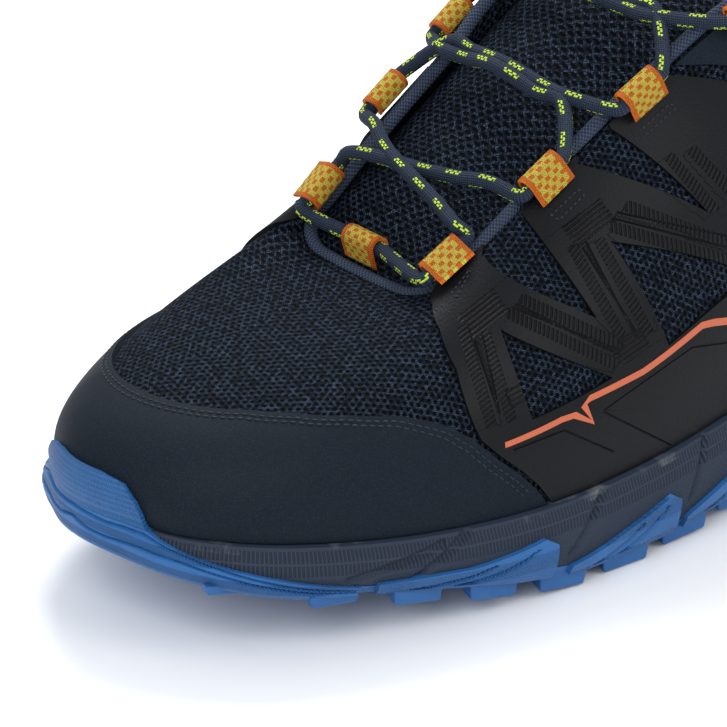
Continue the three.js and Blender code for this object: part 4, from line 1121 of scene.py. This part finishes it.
for k, edge in enumerate([*PODS, HEEL_POD], 1):
    outline = [(edge[0][0], 0), *edge, (edge[-1][0], 0)]
    for side, flip in (("lateral", list), ("medial", mirror)):
        if edge is HEEL_POD and side == "medial":
            continue
        cut_out(f"pod_{side}_{k}", flip(outline), rubber_look, POD_PROUD, 3.4, surface=sole_side, step=0.42,
                relief=pod_relief(edge), scale=SOLE_SCALE, uv=sole_uv, slot="rubber_blue")

# Toe bumper: rubber from the sole's side up over the cap, with two grooves. Heights are shares of the
# sole's side below 0 and of the upper above it, for one half and mirrored.
BUMPER_HALF = [(0, 0.175), (0.5, 0.175), (0.95, 0.155), (1.2, 0.095), (1.42, 0.0), (1.6, -0.12), (2.1, -0.33),
               (2.9, -0.55), (3.5, -0.78)]
BUMPER_EDGE = [(-u, h) for u, h in BUMPER_HALF[:0:-1]] + BUMPER_HALF
BUMPER_GROOVES = [
    ((0, 0.35, 0.7, 1.0, 1.35, 3.5), (-0.08, -0.11, -0.15, -0.12, -0.1, -0.9)),
    ((0, 0.35, 0.7, 1.35, 1.9, 3.5), (-0.42, -0.55, -0.56, -0.46, -0.48, -0.95)),
]


CAP_PROUD, GROOVE_DEPTH, GROOVE_WIDTH, TIER_DEPTH, TIER = 0.7, 0.7, 0.022, 0.45, 0.2


def bumper_face(station, height, push):
    side = sole_side(station, 1 + np.minimum(height, 0), push)
    cap = skin(station, np.maximum(height, 0), np.asarray(push) + CAP_PROUD)
    blend = np.clip(np.asarray(height) / 0.05, 0, 1)[..., None]
    return side * (1 - blend) + cap * blend


def bumper_relief(points, station, height):
    depth = np.zeros(len(height))
    for stations, heights in BUMPER_GROOVES:
        away = height - np.interp(np.abs(station), stations, heights)
        depth += GROOVE_DEPTH * np.exp(-(away / GROOVE_WIDTH) ** 2)
        depth += TIER_DEPTH * np.clip(1 - away / TIER, 0, 1) * (away > 0)
    return -depth


cut_out("toe_bumper", [*BUMPER_EDGE, (3.5, -1), (-3.5, -1)], rubber_look, POD_PROUD, 2.6, surface=bumper_face,
        step=0.4, relief=bumper_relief, scale=BUMPER_SCALE, uv=lambda u, t: np.stack([27 * u, 20 * t], -1),
        slot="rubber_blue")

# Tread: chevron rows of lugs, one from either edge and one between them where the sole is wide enough.
LUG_PITCH, LUG_LENGTH, EDGE_LUG, SWEEP, TAPER = 20.0, 13.0, 15.0, 5.0, 1.1
FIRST_LUG, TREAD, LUG_GAP, LEAST_HALF, LUG_INSET = 0.085, 0.9, 4.0, 5.0, 0.4


def station_at(x, side):
    low, high = 0.0, 12.0
    for _ in range(30):
        middle = (low + high) / 2
        low, high = (middle, high) if section(side * middle)[0] < x else (low, middle)
    return side * low


lug_points, lug_faces = [], []


def add_lug(corners):
    corners = np.array(corners)
    wide = (corners - corners.mean(0)) * TAPER + corners.mean(0)
    start, n = len(lug_points), len(corners)
    lug_points.extend([(*p, float(lug_tip(p[0]))) for p in corners])
    lug_points.extend([(*w, float(slab_floor(p[0])) + SLAB / 3) for w, p in zip(wide, corners)])
    lower, upper = np.arange(n) + start, np.arange(n) + start + n
    lug_faces.extend([lower.tolist(), upper[::-1].tolist()])
    lug_faces.extend(np.stack([lower, np.roll(lower, -1), np.roll(upper, -1), upper], 1).tolist())


for k in range(int(TREAD * LENGTH / LUG_PITCH)):
    x = FIRST_LUG * LENGTH + k * LUG_PITCH
    front, back = x - LUG_LENGTH / 2, x + LUG_LENGTH / 2
    edges = [sole_side(station_at(x, side), 0.0, -LUG_INSET)[1] for side in (1, -1)]
    for n, y in enumerate(edges):
        inner = y + (EDGE_LUG if n == 0 else -EDGE_LUG)
        add_lug([(front, y), (back, y), (back + SWEEP, inner), (front + SWEEP, inner)])
    middle, half = sum(edges) / 2, (edges[1] - edges[0]) / 2 - EDGE_LUG - LUG_GAP
    if half > LEAST_HALF:
        add_lug([(front + SWEEP, middle - half), (back, middle - half), (back, middle + half),
                 (front + SWEEP, middle + half), (front, middle)])
lugs = turned_out(piece("tread_lugs", lug_points, lug_faces, rubber_look, smooth=False, slot="rubber_blue"))
rounded = lugs.modifiers.new("rounded", "BEVEL")
rounded.width, rounded.segments = 0.0006, 2
